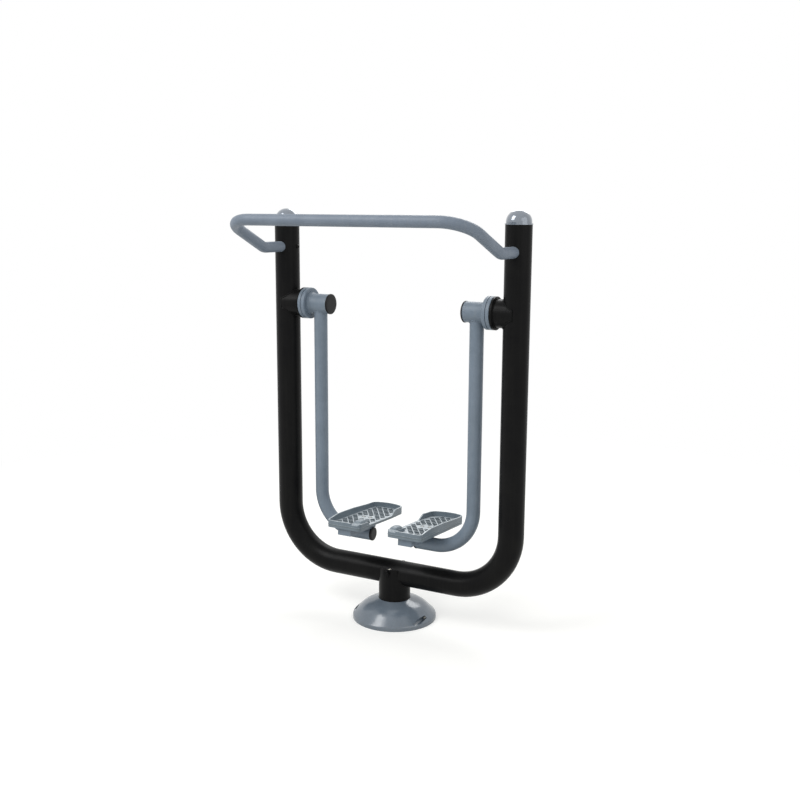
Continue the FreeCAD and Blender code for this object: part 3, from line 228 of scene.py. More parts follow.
def makeCastCoat(name, look):
    coat = castCoat
    material, tree, shader, place = newMaterial(name)
    clouds = addNode(tree, "TexNoise", {"Scale": everyMm(coat["cloudMm"]), **cloudy},
                     {"Vector": (place, "Object")})
    spread = addNode(tree, "MapRange", {"From Min": coat["cloudFrom"], "From Max": coat["cloudTo"]},
                     {"Value": (clouds, "Fac")})
    paint = addNode(tree, "Mix", {"data_type": "RGBA", 6: fromHex(look["base"]), 7: fromHex(look["faded"])},
                    {0: (spread, "Result")})
    grain = addNode(tree, "TexNoise", {"Scale": everyMm(coat["grainMm"]), "Detail": 3.0, "Roughness": 0.7},
                    {"Vector": (place, "Object")})
    pores = addNode(tree, "TexVoronoi", {"Scale": everyMm(coat["poreMm"])}, {"Vector": (place, "Object")})
    pits = addNode(tree, "MapRange", {"From Min": 0.0, "From Max": coat["poreEdge"]},
                   {"Value": (pores, "Distance")})
    relief = addNode(tree, "Math", {"operation": "MULTIPLY"}, {0: (grain, "Fac"), 1: (pits, "Result")})
    skin = addNode(tree, "Bump", {"Strength": coat["grainStrength"], "Distance": coat["grainDepth"]},
                   {"Height": (relief, "Value")})
    tree.links.new(skin.outputs["Normal"], shader.inputs["Normal"])
    speckle = addNode(tree, "MapRange",
                      {"From Min": coat["grainFrom"], "From Max": coat["grainTo"],
                       "To Min": coat["grainDark"], "To Max": coat["grainLight"]},
                      {"Value": (grain, "Fac")})
    toned = addNode(tree, "VectorMath", {"operation": "SCALE"}, {0: (paint, 2), "Scale": (speckle, "Result")})
    rough = addNode(tree, "MapRange",
                    {"To Min": look["roughness"] - coat["shinier"],
                     "To Max": look["roughness"] + coat["duller"]},
                    {"Value": (clouds, "Fac")})
    shader.inputs["IOR"].default_value = paintIor
    shader.inputs["Specular IOR Level"].default_value = look["specular"]
    if not look["trodden"]:
        height = addNode(tree, "SeparateXYZ", None, {"Vector": (place, "Object")})
        low = addNode(tree, "MapRange",
                      {"From Min": coverSplash["top"], "From Max": 0.0, "To Max": coverSplash["most"]},
                      {"Value": (height, "Z")})
        drops = addNode(tree, "TexNoise", {"Scale": everyMm(coverSplash["dropMm"]), **spotty},
                        {"Vector": (place, "Object")})
        spots = addNode(tree, "MapRange", {"From Min": coverSplash["from"], "From Max": coverSplash["to"]},
                        {"Value": (drops, "Fac")})
        splash = addNode(tree, "Math", {"operation": "MULTIPLY"}, {0: (low, "Result"), 1: (spots, "Result")})
        soiled = addNode(tree, "Mix", {"data_type": "RGBA", 7: fromHex(powderCoat["soil"])},
                         {0: (splash, "Value"), 6: (toned, "Vector")})
        tree.links.new(soiled.outputs[2], shader.inputs["Base Color"])
        tree.links.new(rough.outputs["Result"], shader.inputs["Roughness"])
        return material
    # height above the foot tube, square to the tread
    lean = math.radians(coat["tilt"])
    fromFoot = addNode(tree, "VectorMath", {"operation": "SUBTRACT", 1: (0, 0, coat["footHeight"])},
                       {0: (place, "Object")})
    level = addNode(tree, "VectorMath", {"operation": "DOT_PRODUCT", 1: (0, math.sin(lean), math.cos(lean))},
                    {0: (fromFoot, "Vector")})
    floorLevel = coat["cellFloor"] * mm
    topLevel = coat["treadTop"] * mm
    inCell = addNode(tree, "MapRange",
                     {"From Min": topLevel - coat["cellRim"] * mm, "From Max": floorLevel,
                      "To Max": coat["dirtMost"]},
                     {"Value": (level, "Value")})
    above = addNode(tree, "Math", {"operation": "GREATER_THAN", 1: floorLevel - coat["cellUnder"] * mm},
                    {0: (level, "Value")})
    dirtAt = addNode(tree, "Math", {"operation": "MULTIPLY"}, {0: (inCell, "Result"), 1: (above, "Value")})
    dirty = addNode(tree, "Mix", {"data_type": "RGBA", 7: fromHex(look["dirt"])},
                    {0: (dirtAt, "Value"), 6: (toned, "Vector")})
    # on the up-facing tops of the ribs and the rim: a paler tone, partly the coat rubbed thin and partly
    # painted highlight, and near-white scuffs, partly bare metal and partly painted highlight
    up = addNode(tree, "SeparateXYZ", None, {"Vector": (place, "Normal")})
    facing = addNode(tree, "MapRange", {"From Min": coat["flatFrom"], "From Max": coat["flatTo"]},
                     {"Value": (up, "Z")})
    onTop = addNode(tree, "MapRange",
                    {"From Min": topLevel - coat["topFrom"] * mm, "From Max": topLevel - coat["topTo"] * mm},
                    {"Value": (level, "Value")})
    scuffAndHighlightNoise = addNode(tree, "TexNoise", {"Scale": everyMm(coat["scuffAndHighlightMm"]), "Detail": 6.0, "Roughness": 0.75},
                   {"Vector": (place, "Object")})
    patchy = addNode(tree, "MapRange", {"From Min": coat["scuffAndHighlightFrom"], "From Max": coat["scuffAndHighlightTo"]},
                     {"Value": (scuffAndHighlightNoise, "Fac")})
    edge = addNode(tree, "Math", {"operation": "MULTIPLY"}, {0: (facing, "Result"), 1: (onTop, "Result")})
    wearAndHighlight = addNode(tree, "Math", {"operation": "MULTIPLY"}, {0: (edge, "Value"), 1: (patchy, "Result")})
    wornAndHighlit = addNode(tree, "Math", {"operation": "MULTIPLY", 1: look["wearAndHighlight"]}, {0: (wearAndHighlight, "Value")})
    thinnedAndHighlit = addNode(tree, "Math", {"operation": "MULTIPLY", 1: look["thinningAndHighlight"]}, {0: (edge, "Value")})
    polishedAndHighlit = addNode(tree, "Mix", {"data_type": "RGBA", 7: fromHex(look["polishedAndHighlit"])},
                       {0: (thinnedAndHighlit, "Value"), 6: (dirty, 2)})
    # near-white scuffs: partly bare metal, partly painted highlight
    colour = addNode(tree, "Mix", {"data_type": "RGBA", 7: fromHex(look["bareAndHighlit"])},
                     {0: (wornAndHighlit, "Value"), 6: (polishedAndHighlit, 2)})
    metal = addNode(tree, "Math", {"operation": "MULTIPLY", 1: coat["bareShine"]}, {0: (wornAndHighlit, "Value")})
    grit = addNode(tree, "Math", {"operation": "MULTIPLY_ADD", 1: coat["dirtDulls"]},
                   {0: (dirtAt, "Value"), 2: (rough, "Result")})
    tree.links.new(colour.outputs[2], shader.inputs["Base Color"])
    tree.links.new(metal.outputs["Value"], shader.inputs["Metallic"])
    tree.links.new(grit.outputs["Value"], shader.inputs["Roughness"])
    return material


# Injection-moulded ABS with a silver-grey lacquer, for the domed post caps: mirror-smooth,
# so lamps show as crisp spots, with hair-fine scratches from handling.
lacquer = {
    "base": "#858d97",
    "deep": "#737b85",
    "flakeMm": 2.0,         # real flakes are about 0.03 mm, drawn coarser so they show
    "hairMm": 30.0,         # patches of scratches
    "hairFrom": 0.45,
    "hairTo": 0.75,
    "smoothest": 0.10,
    "roughest": 0.24,
    "metallic": 0.35,
    "lacquerRoughness": 0.03,
}


def makeLacqueredAbs():
    material, tree, shader, place = newMaterial("lacqueredAbs")
    flakes = addNode(tree, "TexVoronoi", {"Scale": everyMm(lacquer["flakeMm"])},
                     {"Vector": (place, "Object")})
    tone = addNode(tree, "Mix",
                   {"data_type": "RGBA", 6: fromHex(lacquer["base"]), 7: fromHex(lacquer["deep"])},
                   {0: (flakes, "Distance")})
    hairs = addNode(tree, "TexNoise", {"Scale": everyMm(lacquer["hairMm"]), "Detail": 8.0, "Distortion": 6.0},
                    {"Vector": (place, "Object")})
    dulled = addNode(tree, "MapRange",
                     {"From Min": lacquer["hairFrom"], "From Max": lacquer["hairTo"],
                      "To Min": lacquer["smoothest"], "To Max": lacquer["roughest"]},
                     {"Value": (hairs, "Fac")})
    tree.links.new(tone.outputs[2], shader.inputs["Base Color"])
    tree.links.new(dulled.outputs["Result"], shader.inputs["Roughness"])
    shader.inputs["Metallic"].default_value = lacquer["metallic"]
    shader.inputs["IOR"].default_value = paintIor
    shader.inputs["Coat Weight"].default_value = 1.0
    shader.inputs["Coat Roughness"].default_value = lacquer["lacquerRoughness"]
    return material


# Moulded nylon, for the tube plugs and the axle caps: matt black with the pebble that a
# spark-eroded mould leaves, a touch paler where the weather has bleached what faces up.
nylon = {
    "base": "#0c0c0d",
    "bleached": "#191919",
    "bleachFrom": -0.2,     # starts a little below what faces sideways
    "pebbleMm": 2.4,        # real pebble is about 0.6 mm, drawn coarser so it shows
    "pebbleDepth": 0.00010,
    "pebbleStrength": 0.6,
    "smoothest": 0.34,
    "roughest": 0.5,
    "specular": 0.18,
}


def makeMouldedNylon():
    material, tree, shader, place = newMaterial("mouldedNylon")
    up = addNode(tree, "SeparateXYZ", None, {"Vector": (place, "Normal")})
    weathered = addNode(tree, "MapRange", {"From Min": nylon["bleachFrom"], "From Max": 1.0},
                        {"Value": (up, "Z")})
    colour = addNode(tree, "Mix",
                     {"data_type": "RGBA", 6: fromHex(nylon["base"]), 7: fromHex(nylon["bleached"])},
                     {0: (weathered, "Result")})
    pebble = addNode(tree, "TexNoise", {"Scale": everyMm(nylon["pebbleMm"]), **smooth},
                     {"Vector": (place, "Object")})
    dulled = addNode(tree, "MapRange", {"To Min": nylon["smoothest"], "To Max": nylon["roughest"]},
                     {"Value": (pebble, "Fac")})
    skin = addNode(tree, "Bump", {"Strength": nylon["pebbleStrength"], "Distance": nylon["pebbleDepth"]},
                   {"Height": (pebble, "Fac")})
    tree.links.new(colour.outputs[2], shader.inputs["Base Color"])
    tree.links.new(dulled.outputs["Result"], shader.inputs["Roughness"])
    tree.links.new(skin.outputs["Normal"], shader.inputs["Normal"])
    shader.inputs["IOR"].default_value = nylonIor
    shader.inputs["Specular IOR Level"].default_value = nylon["specular"]
    return material


# Nitrile rubber, pressed, for the seals and the stop sleeves: dull, with chalky bloom.
rubber = {
    "base": "#161616",
    "bloom": "#3a3937",
    "bloomMm": 12.0,
    "bloomFrom": 0.5,
    "bloomTo": 0.8,
    "bloomMost": 0.6,
    "skinDepth": 0.00008,
    "skinStrength": 0.4,
    "roughness": 0.75,
}


def makeNitrileRubber():
    material, tree, shader, place = newMaterial("nitrileRubber")
    cloud = addNode(tree, "TexNoise", {"Scale": everyMm(rubber["bloomMm"]), **lively},
                    {"Vector": (place, "Object")})
    chalk = addNode(tree, "MapRange",
                    {"From Min": rubber["bloomFrom"], "From Max": rubber["bloomTo"],
                     "To Max": rubber["bloomMost"]},
                    {"Value": (cloud, "Fac")})
    colour = addNode(tree, "Mix",
                     {"data_type": "RGBA", 6: fromHex(rubber["base"]), 7: fromHex(rubber["bloom"])},
                     {0: (chalk, "Result")})
    skin = addNode(tree, "Bump", {"Strength": rubber["skinStrength"], "Distance": rubber["skinDepth"]},
                   {"Height": (cloud, "Fac")})
    tree.links.new(colour.outputs[2], shader.inputs["Base Color"])
    tree.links.new(skin.outputs["Normal"], shader.inputs["Normal"])
    shader.inputs["Roughness"].default_value = rubber["roughness"]
    shader.inputs["IOR"].default_value = rubberIor
    return material


# Zinc-plated steel, for the nuts, bolts and washers: a pale bluish metal with a faint
# rainbow of passivation and dull spots where the zinc has started to chalk.
zinc = {
    "cool": "#a9adb0",
    "warm": "#b3ab95",
    "filmMm": 14.0,
    "chalk": "#c3c4c2",
    "chalkMm": 3.0,
    "chalkFrom": 0.56,
    "chalkTo": 0.7,
    "bright": 0.28,         # roughness of the sound plating, and of the chalked
    "dull": 0.6,
}


def makeZincPlate():
    material, tree, shader, place = newMaterial("zincPlatedSteel")
    film = addNode(tree, "TexNoise", {"Scale": everyMm(zinc["filmMm"]), **smooth},
                   {"Vector": (place, "Object")})
    tint = addNode(tree, "Mix", {"data_type": "RGBA", 6: fromHex(zinc["cool"]), 7: fromHex(zinc["warm"])},
                   {0: (film, "Fac")})
    specks = addNode(tree, "TexNoise", {"Scale": everyMm(zinc["chalkMm"]), **lively},
                     {"Vector": (place, "Object")})
    chalked = addNode(tree, "MapRange", {"From Min": zinc["chalkFrom"], "From Max": zinc["chalkTo"]},
                      {"Value": (specks, "Fac")})
    colour = addNode(tree, "Mix", {"data_type": "RGBA", 7: fromHex(zinc["chalk"])},
                     {0: (chalked, "Result"), 6: (tint, 2)})
    rough = addNode(tree, "MapRange", {"To Min": zinc["bright"], "To Max": zinc["dull"]},
                    {"Value": (chalked, "Result")})
    tree.links.new(colour.outputs[2], shader.inputs["Base Color"])
    tree.links.new(rough.outputs["Result"], shader.inputs["Roughness"])
    shader.inputs["Metallic"].default_value = 1.0
    return material


# Ground and oiled bearing steel, for the axles, rings and stop pins: bright, with the
# fine rings that the grinding wheel leaves round the axle.
steel = {
    "bright": "#b8b9ba",
    "oily": "#8d8878",
    "oilMm": 20.0,
    "oilFrom": 0.5,
    "oilTo": 0.75,
    "oilMost": 0.7,
    "ringMm": 5.0265,       # real rings are about 0.05 mm apart, drawn coarser so they show
    "ringWobble": 0.4,
    "ringDepth": 0.00002,
    "ringStrength": 0.3,
    "smoothest": 0.2,
    "roughest": 0.34,
}
waveTurn = math.tau / 20    # a wave texture repeats after this run at scale 1


def makeGroundSteel():
    material, tree, shader, place = newMaterial("groundSteel")
    oil = addNode(tree, "TexNoise", {"Scale": everyMm(steel["oilMm"]), "Detail": 3.0},
                  {"Vector": (place, "Object")})
    film = addNode(tree, "MapRange",
                   {"From Min": steel["oilFrom"], "From Max": steel["oilTo"], "To Max": steel["oilMost"]},
                   {"Value": (oil, "Fac")})
    colour = addNode(tree, "Mix",
                     {"data_type": "RGBA", 6: fromHex(steel["bright"]), 7: fromHex(steel["oily"])},
                     {0: (film, "Result")})
    rings = addNode(tree, "TexWave",
                    {"bands_direction": "X", "Scale": everyMm(steel["ringMm"]) * waveTurn,
                     "Distortion": steel["ringWobble"]},
                    {"Vector": (place, "Object")})
    cut = addNode(tree, "Bump", {"Strength": steel["ringStrength"], "Distance": steel["ringDepth"]},
                  {"Height": (rings, "Fac")})
    rough = addNode(tree, "MapRange", {"To Min": steel["smoothest"], "To Max": steel["roughest"]},
                    {"Value": (rings, "Fac")})
    tree.links.new(colour.outputs[2], shader.inputs["Base Color"])
    tree.links.new(rough.outputs["Result"], shader.inputs["Roughness"])
    tree.links.new(cut.outputs["Normal"], shader.inputs["Normal"])
    shader.inputs["Metallic"].default_value = 1.0
    return material


black = makePowderCoat("powderCoatBlack", {
    "base": "#0f0f10", "faded": "#141414", "dust": "#5d5a53", "streak": 0.02, "dustAmount": 0.015,
    "roughness": 0.33, "specular": 0.08})
barGrey = makePowderCoat("powderCoatBarGrey", {
    "base": "#707b89", "faded": "#7a8593", "dust": "#a3a39a", "streak": 0.08, "dustAmount": 0.12,
    "roughness": 0.46, "specular": 0.35})
armGrey = makePowderCoat("powderCoatArmGrey", {
    "base": "#6e7b88", "faded": "#788593", "dust": "#9f9f97", "streak": 0.10, "dustAmount": 0.12,
    "roughness": 0.42, "specular": 0.35})
# the tread's paler rib tops and near-white scuffs are partly wear and partly painted highlight
treadCast = makeCastCoat("castAluminiumTread", {
    "base": "#6b7780", "faded": "#75818a", "dirt": "#6a7374", "bareAndHighlit": "#dde2e5", "wearAndHighlight": 0.7,
    "polishedAndHighlit": "#a3adb3", "thinningAndHighlight": 0.8, "roughness": 0.40, "specular": 0.4, "trodden": True})
coverCast = makeCastCoat("castAluminiumCover", {
    "base": "#636e79", "faded": "#6c7782", "roughness": 0.17, "specular": 0.75, "trodden": False})
# the toe pads take the same paler tops and scuffs, weaker: partly wear and partly painted highlight
toeCast = makeCastCoat("castAluminiumToe", {
    "base": "#6b7780", "faded": "#75818a", "dirt": "#6a7374", "bareAndHighlit": "#b9c1c5", "wearAndHighlight": 0.35,
    "polishedAndHighlit": "#87929a", "thinningAndHighlight": 0.5, "roughness": 0.36, "specular": 0.4, "trodden": True})
zincPlate = makeZincPlate()

# the record's material slots; toeCast and zincPlate are also used by pieces made below
finishes = {
    "frame_paint": black,
    "bar_paint": barGrey,
    "arm_paint": armGrey,
    "pedal_paint": treadCast,
    "cover_paint": coverCast,
    "cap_gloss": makeLacqueredAbs(),
    "black_plastic": makeMouldedNylon(),
    "black_rubber": makeNitrileRubber(),
    "zinc_steel": zincPlate,
    "ground_steel": makeGroundSteel(),
}
# these were sprayed together with the frame
sprayedBlack = ("frame_bolt", "frame_nut", "frame_washers", "handlebar_screws")
for subpart in frame["record"]["subparts"]:
    name = subpart["node"]
    finish = black if name in sprayedBlack else finishes[subpart["material_slot"]]
    nodes[name].data.materials.clear()
    nodes[name].data.materials.append(finish)
print("materials on %d nodes" % len(nodes))


# camera: solved from the straight edges of the frame in the photograph
camera = {
    "place": (1.7123, -3.1478, 1.4698),
    "azimuth": 28.284,
    "elevation": 10.518,
    "roll": 0.290,
    "pixelsFocal": 1032.87,
    "frame": 800.0,
    "sensor": 36.0,
}


def makeCamera():
    a = math.radians(camera["azimuth"])
    e = math.radians(camera["elevation"])
    r = math.radians(camera["roll"])
    back = Vector((math.sin(a) * math.cos(e), -math.cos(a) * math.cos(e), math.sin(e)))
    right = Vector((math.cos(a), math.sin(a), 0.0))
    up = back.cross(right)
    rightTurned = right * math.cos(r) + up * math.sin(r)
    upTurned = up * math.cos(r) - right * math.sin(r)
    turn = Matrix((rightTurned, upTurned, back)).transposed().to_4x4()
    lens = bpy.data.cameras.new("photoCamera")
    lens.sensor_width = camera["sensor"]
    lens.lens = camera["pixelsFocal"] / camera["frame"] * camera["sensor"]
    viewer = bpy.data.objects.new("photoCamera", lens)
    viewer.matrix_world = Matrix.Translation(camera["place"]) @ turn
    scene.collection.objects.link(viewer)
    scene.camera = viewer


makeCamera()
print("camera")


# the frame's own numbers, in millimetres, as the part has them
frameTube = {"postX": 450.0, "radius": 44.45, "axleHeight": 1130.0, "barEntry": 1332.0}


def addPiece(name, build, body, material, rounded=True):
    mesh = bpy.data.meshes.new(name)
    bmesh.ops.recalc_face_normals(build, faces=build.faces[:])
    build.to_mesh(mesh)
    build.free()
    for face in mesh.polygons:
        face.use_smooth = rounded
    mesh.materials.append(material)
    piece = bpy.data.objects.new(name, mesh)
    scene.collection.objects.link(piece)
    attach(piece, body)


# a strand along steps of (place, outward) in millimetres; section gives, for the
# distance run, its corners as (along the surface, outward)
def layStrand(build, steps, section, closed):
    rings = []
    run = 0.0
    count = len(steps)
    for i, (place, outward) in enumerate(steps):
        before = steps[i - 1][0] if i or closed else place
        after = steps[(i + 1) % count][0] if i < count - 1 or closed else place
        along = (after - before).normalized()
        out = (outward - along * outward.dot(along)).normalized()
        side = along.cross(out)
        rings.append([build.verts.new((place + side * u + out * v) * mm) for u, v in section(run)])
        run += (steps[(i + 1) % count][0] - place).length
    for i in range(count if closed else count - 1):
        a, b = rings[i], rings[(i + 1) % count]
        for j in range(len(a)):
            k = (j + 1) % len(a)
            build.faces.new((a[j], a[k], b[k], b[j]))
    if not closed:
        build.faces.new(rings[0])
        build.faces.new(rings[-1])


# Weld beads, with the overlapping ripples of a hand-laid seam, under the same coat
weldBead = {
    "radius": 3.0,
    "ripple": 4.2,          # real ripples are about 2 mm apart, drawn coarser so they show
    "rippleDepth": 0.26,
    "corners": 9,
    "step": 0.9,
    "fewest": 8,
}


def beadSection(run):
    part = (run / weldBead["ripple"]) % 1.0
    radius = weldBead["radius"] * (1.0 - weldBead["rippleDepth"] * part)
    turns = [math.tau * i / weldBead["corners"] for i in range(weldBead["corners"])]
    return [(radius * math.cos(t), radius * math.sin(t)) for t in turns]


# points round a seam, evenly stepped, from a rule that gives the seam's place at a turn
def seamSteps(rule, start, end, radius):
    count = max(weldBead["fewest"], int(radius * abs(end - start) / weldBead["step"]))
    return [rule(start + (end - start) * i / count) for i in range(count)]


# where the stub axle meets its post: the stub is wider, so its cheeks run past the post
stub = {
    "radius": 48.0,
    "reach": 68.0,
    "pastPost": 1.2,
    "leanIn": 0.6,
    "offDisc": 0.8,         # the middle of the disc's bead stands off its corner
    "offStub": 0.6,
}


def stubSeam(turn):
    y = stub["radius"] * math.cos(turn)
    z = stub["radius"] * math.sin(turn)
    limit = frameTube["radius"]
    inner = math.sqrt(max(0.0, limit ** 2 - y ** 2))
    y = max(-limit - stub["pastPost"], min(limit + stub["pastPost"], y))
    outward = Vector((-stub["leanIn"], math.cos(turn), math.sin(turn)))
    return Vector((frameTube["postX"] - inner, y, frameTube["axleHeight"] + z)), outward


def discSeam(turn):
    flat = Vector((0, math.cos(turn), math.sin(turn)))
    middle = Vector((frameTube["postX"] - stub["reach"] + stub["offDisc"], 0, frameTube["axleHeight"]))
    return middle + flat * (stub["radius"] + stub["offStub"]), flat


# where the arm's top is saddled under the hub's sleeve
armTop = {"x": 308.5, "radius": 24.15, "sleeve": 35.0, "leanDown": 0.5}


def armSeam(turn):
    x = armTop["radius"] * math.cos(turn)
    y = armTop["radius"] * math.sin(turn)
    z = frameTube["axleHeight"] - math.sqrt(armTop["sleeve"] ** 2 - y ** 2)
    return Vector((armTop["x"] + x, y, z)), Vector((x, y, -armTop["radius"] * armTop["leanDown"]))


# where the footplate's carrier sits over the foot tube, one seam at each of its side walls
carrier = {
    "near": 95.0,
    "far": 147.0,
    "halfTurn": 31.0,
    "tube": 24.15,
    "leanOut": 0.7,
    "offWall": 0.5,
    "offTube": 0.4,
}


def footSeam(turn, x, way):
    turn += math.radians(castCoat["tilt"])
    radial = Vector((0, math.sin(turn), math.cos(turn)))
    middle = Vector((x + way * carrier["offWall"], 0, castCoat["footHeight"] / mm))
    outward = radial + Vector((way * carrier["leanOut"], 0, 0))
    return middle + radial * (carrier["tube"] + carrier["offTube"]), outward


def flipped(steps, sign):
    return [(Vector((p.x * sign, p.y, p.z)), Vector((o.x * sign, o.y, o.z))) for p, o in steps]


def makeWelds():
    half = math.radians(carrier["halfTurn"])
    for side, sign in sides:
        build = bmesh.new()
        for seam in (stubSeam, discSeam):
            layStrand(build, flipped(seamSteps(seam, 0, math.tau, stub["radius"]), sign), beadSection, True)
        addPiece("stubWelds_" + side, build, "frame", black)
        build = bmesh.new()
        layStrand(build, flipped(seamSteps(armSeam, 0, math.tau, armTop["radius"]), sign), beadSection, True)
        for x, way in ((carrier["near"], -1), (carrier["far"], 1)):
            seam = seamSteps(lambda turn: footSeam(turn, x, way), -half, half, carrier["tube"])
            layStrand(build, flipped(seam, sign), beadSection, False)
        addPiece("armWelds_" + side, build, "arm_" + side, armGrey)


makeWelds()
print("weld seams")


# Screw threads: a helix of triangular section laid on the plain shank that the part has
threads = {
    "frameBolt": {"radius": 6.0, "pitch": 1.75, "y": 69.9, "length": 4.4, "z": 181.0},
    "pedalBolt": {"radius": 4.0, "pitch": 1.25, "level": 35.2, "length": 1.5},
    "rise": 0.3,            # the thread's height, half foot and sunk root, the first two in pitches
    "halfFoot": 0.4,
    "sunk": 0.1,
    "stepsPerTurn": 28,
}


def layThread(build, start, axis, bolt):
    axis = axis.normalized()
    first = axis.orthogonal().normalized()
    second = axis.cross(first)
    steps = []
    count = int(bolt["length"] / bolt["pitch"] * threads["stepsPerTurn"])
    for i in range(count + 1):
        turn = math.tau * i / threads["stepsPerTurn"]
        out = first * math.cos(turn) + second * math.sin(turn)
        steps.append((start + axis * (bolt["length"] * i / count) + out * bolt["radius"], out))
    foot = threads["halfFoot"] * bolt["pitch"]
    corners = [(-foot, -threads["sunk"]), (0.0, threads["rise"] * bolt["pitch"]), (foot, -threads["sunk"])]
    layStrand(build, steps, lambda run: corners, False)


# a point given above a footplate's own plane, in the part's frame
def onFoot(x, y, level):
    lean = math.radians(castCoat["tilt"])
    return Vector((x, y * math.cos(lean) + level * math.sin(lean),
                   castCoat["footHeight"] / mm - y * math.sin(lean) + level * math.cos(lean)))


# the four bolts of a footplate stand in a rectangle about this middle
boltSpots = {"middleX": 121.0, "middleY": -65.0, "halfX": 14.0, "halfY": 70.0}


def spotsOf(sign):
    return [((boltSpots["middleX"] + boltSpots["halfX"] * i) * sign,
             boltSpots["middleY"] + boltSpots["halfY"] * j) for i in (-1, 1) for j in (-1, 1)]


def makeThreads():
    bolt = threads["frameBolt"]
    build = bmesh.new()
    layThread(build, Vector((0, bolt["y"], bolt["z"])), Vector((0, 1, 0)), bolt)
    addPiece("frameBoltThread", build, "frame", black, rounded=False)
    bolt = threads["pedalBolt"]
    down = onFoot(0, 0, -1) - onFoot(0, 0, 0)
    for side, sign in sides:
        build = bmesh.new()
        for x, y in spotsOf(sign):
            layThread(build, onFoot(x, y, bolt["level"]), down, bolt)
        addPiece("pedalBoltThreads_" + side, build, "arm_" + side, zincPlate, rounded=False)


makeThreads()


# Socket screws: the part has plain heads, so a low collar with a hexagon opening stands on
# each for the socket's mouth
sockets = {
    "bar": {"x": 400.55, "outer": 4.6, "across": 3.0, "height": 0.5},
    "cover": {"x": 131.0, "y": -17.65, "z": 23.0, "outer": 3.9, "across": 2.0, "height": 0.4},
    "pedal": {"level": 57.4, "outer": 4.4, "across": 2.5, "height": 0.4},
    "sunk": 0.2,
    "bevel": 0.3,
    "facets": 24,
}


def laySocket(build, place, axis, screw):
    axis = axis.normalized()
    first = axis.orthogonal().normalized()
    second = axis.cross(first)
    count = sockets["facets"]
    turns = [math.tau * i / count for i in range(count)]
    outs = [first * math.cos(turn) + second * math.sin(turn) for turn in turns]
    flat = math.tau / 6      # the turn that one side of the hexagon takes
    hexagon = [screw["across"] / math.cos((turn + flat / 2) % flat - flat / 2) for turn in turns]

    def ring(lift, reaches):
        return [build.verts.new((place + axis * lift + out * reach) * mm)
                for out, reach in zip(outs, reaches)]

    lowOut = ring(-sockets["sunk"], [screw["outer"]] * count)
    lowIn = ring(-sockets["sunk"], hexagon)
    highOut = ring(screw["height"], [screw["outer"] - sockets["bevel"]] * count)
    highIn = ring(screw["height"], hexagon)
    for i in range(count):
        j = (i + 1) % count
        for a, b in ((lowOut, highOut), (highOut, highIn), (highIn, lowIn), (lowIn, lowOut)):
            build.faces.new((a[i], a[j], b[j], b[i]))


def makeSockets():
    bar, cover, pedal = sockets["bar"], sockets["cover"], sockets["pedal"]
    build = bmesh.new()
    for side, sign in sides:
        laySocket(build, Vector((bar["x"] * sign, 0, frameTube["barEntry"])), Vector((-sign, 0, 0)), bar)
    addPiece("handlebarScrewSockets", build, "frame", black, rounded=False)
    build = bmesh.new()
    for side, sign in sides:
        laySocket(build, Vector((cover["x"] * sign, cover["y"], cover["z"])), Vector((0, -1, 0)), cover)
    addPiece("coverScrewSockets", build, "frame", zincPlate, rounded=False)
    upward = onFoot(0, 0, 1) - onFoot(0, 0, 0)
    for side, sign in sides:
        build = bmesh.new()
        for x, y in spotsOf(sign):
            laySocket(build, onFoot(x, y, pedal["level"]), upward, pedal)
        addPiece("pedalBoltSockets_" + side, build, "arm_" + side, zincPlate, rounded=False)


makeSockets()
print("threads and sockets")


# The footplates' moulding line: a low bead round the outer wall, level with the tread
mouldLine = {
    "level": 57.0,
    "height": 2.2,
    "proud": 0.9,
    "sunk": 0.4,
    "crest": 0.7,           # the part of its height that is fully proud
    "step": 1.0,
    "samePoint": 0.00001,   # corners of the wall nearer than this, in metres, are one
}


# the outer edge of a footplate's wall at a level above the foot tube
def wallOutline(name, level):
    lean = math.radians(castCoat["tilt"])
    square = Vector((0, math.sin(lean), math.cos(lean)))
    cut = bmesh.new()
    cut.from_mesh(nodes[name].data)
    bmesh.ops.remove_doubles(cut, verts=cut.verts[:], dist=mouldLine["samePoint"])
    sliced = bmesh.ops.bisect_plane(cut, geom=cut.verts[:] + cut.edges[:] + cut.faces[:],
                                    plane_co=Vector((0, 0, castCoat["footHeight"])) + square * level * mm,
                                    plane_no=square)
    near = {}
    for edge in sliced["geom_cut"]:
        if isinstance(edge, bmesh.types.BMEdge):
            for a, b in (edge.verts, reversed(edge.verts)):
                near.setdefault(a, []).append(b)
    loops = []
    left = set(near)
    while left:
        start = min(left, key=lambda v: (v.co.x, v.co.y))
        loop = [start]
        left.discard(start)
        while True:
            following = [v for v in near[loop[-1]] if v in left]
            if not following:
                break
            loop.append(following[0])
            left.discard(following[0])
        loops.append([v.co / mm for v in loop])
    cut.free()
    longest = max(loops, key=lambda points: max(p.y for p in points) - min(p.y for p in points))
    return longest, square


def makeMouldLines():
    high = mouldLine["height"] / 2
    proud = mouldLine["proud"]
    crest = high * mouldLine["crest"]
    corners = [(-high, -mouldLine["sunk"]), (-crest, proud), (crest, proud), (high, -mouldLine["sunk"])]
    for side, sign in sides:
        points, square = wallOutline("pedal_" + side, mouldLine["level"])
        spaced = [points[0]]
        for point in points[1:]:
            if (point - spaced[-1]).length > mouldLine["step"]:
                spaced.append(point)
        steps = []
        for i, point in enumerate(spaced):
            along = spaced[(i + 1) % len(spaced)] - spaced[i - 1]
            steps.append((point, along.cross(square)))
        area = sum(a.x * b.y - b.x * a.y for a, b in zip(spaced, spaced[1:] + spaced[:1]))
        if area < 0:
            steps = [(point, -out) for point, out in steps]
        build = bmesh.new()
        layStrand(build, steps, lambda run: corners, True)
        addPiece("pedalMouldLine_" + side, build, "arm_" + side, treadCast)


makeMouldLines()
print("moulding lines")


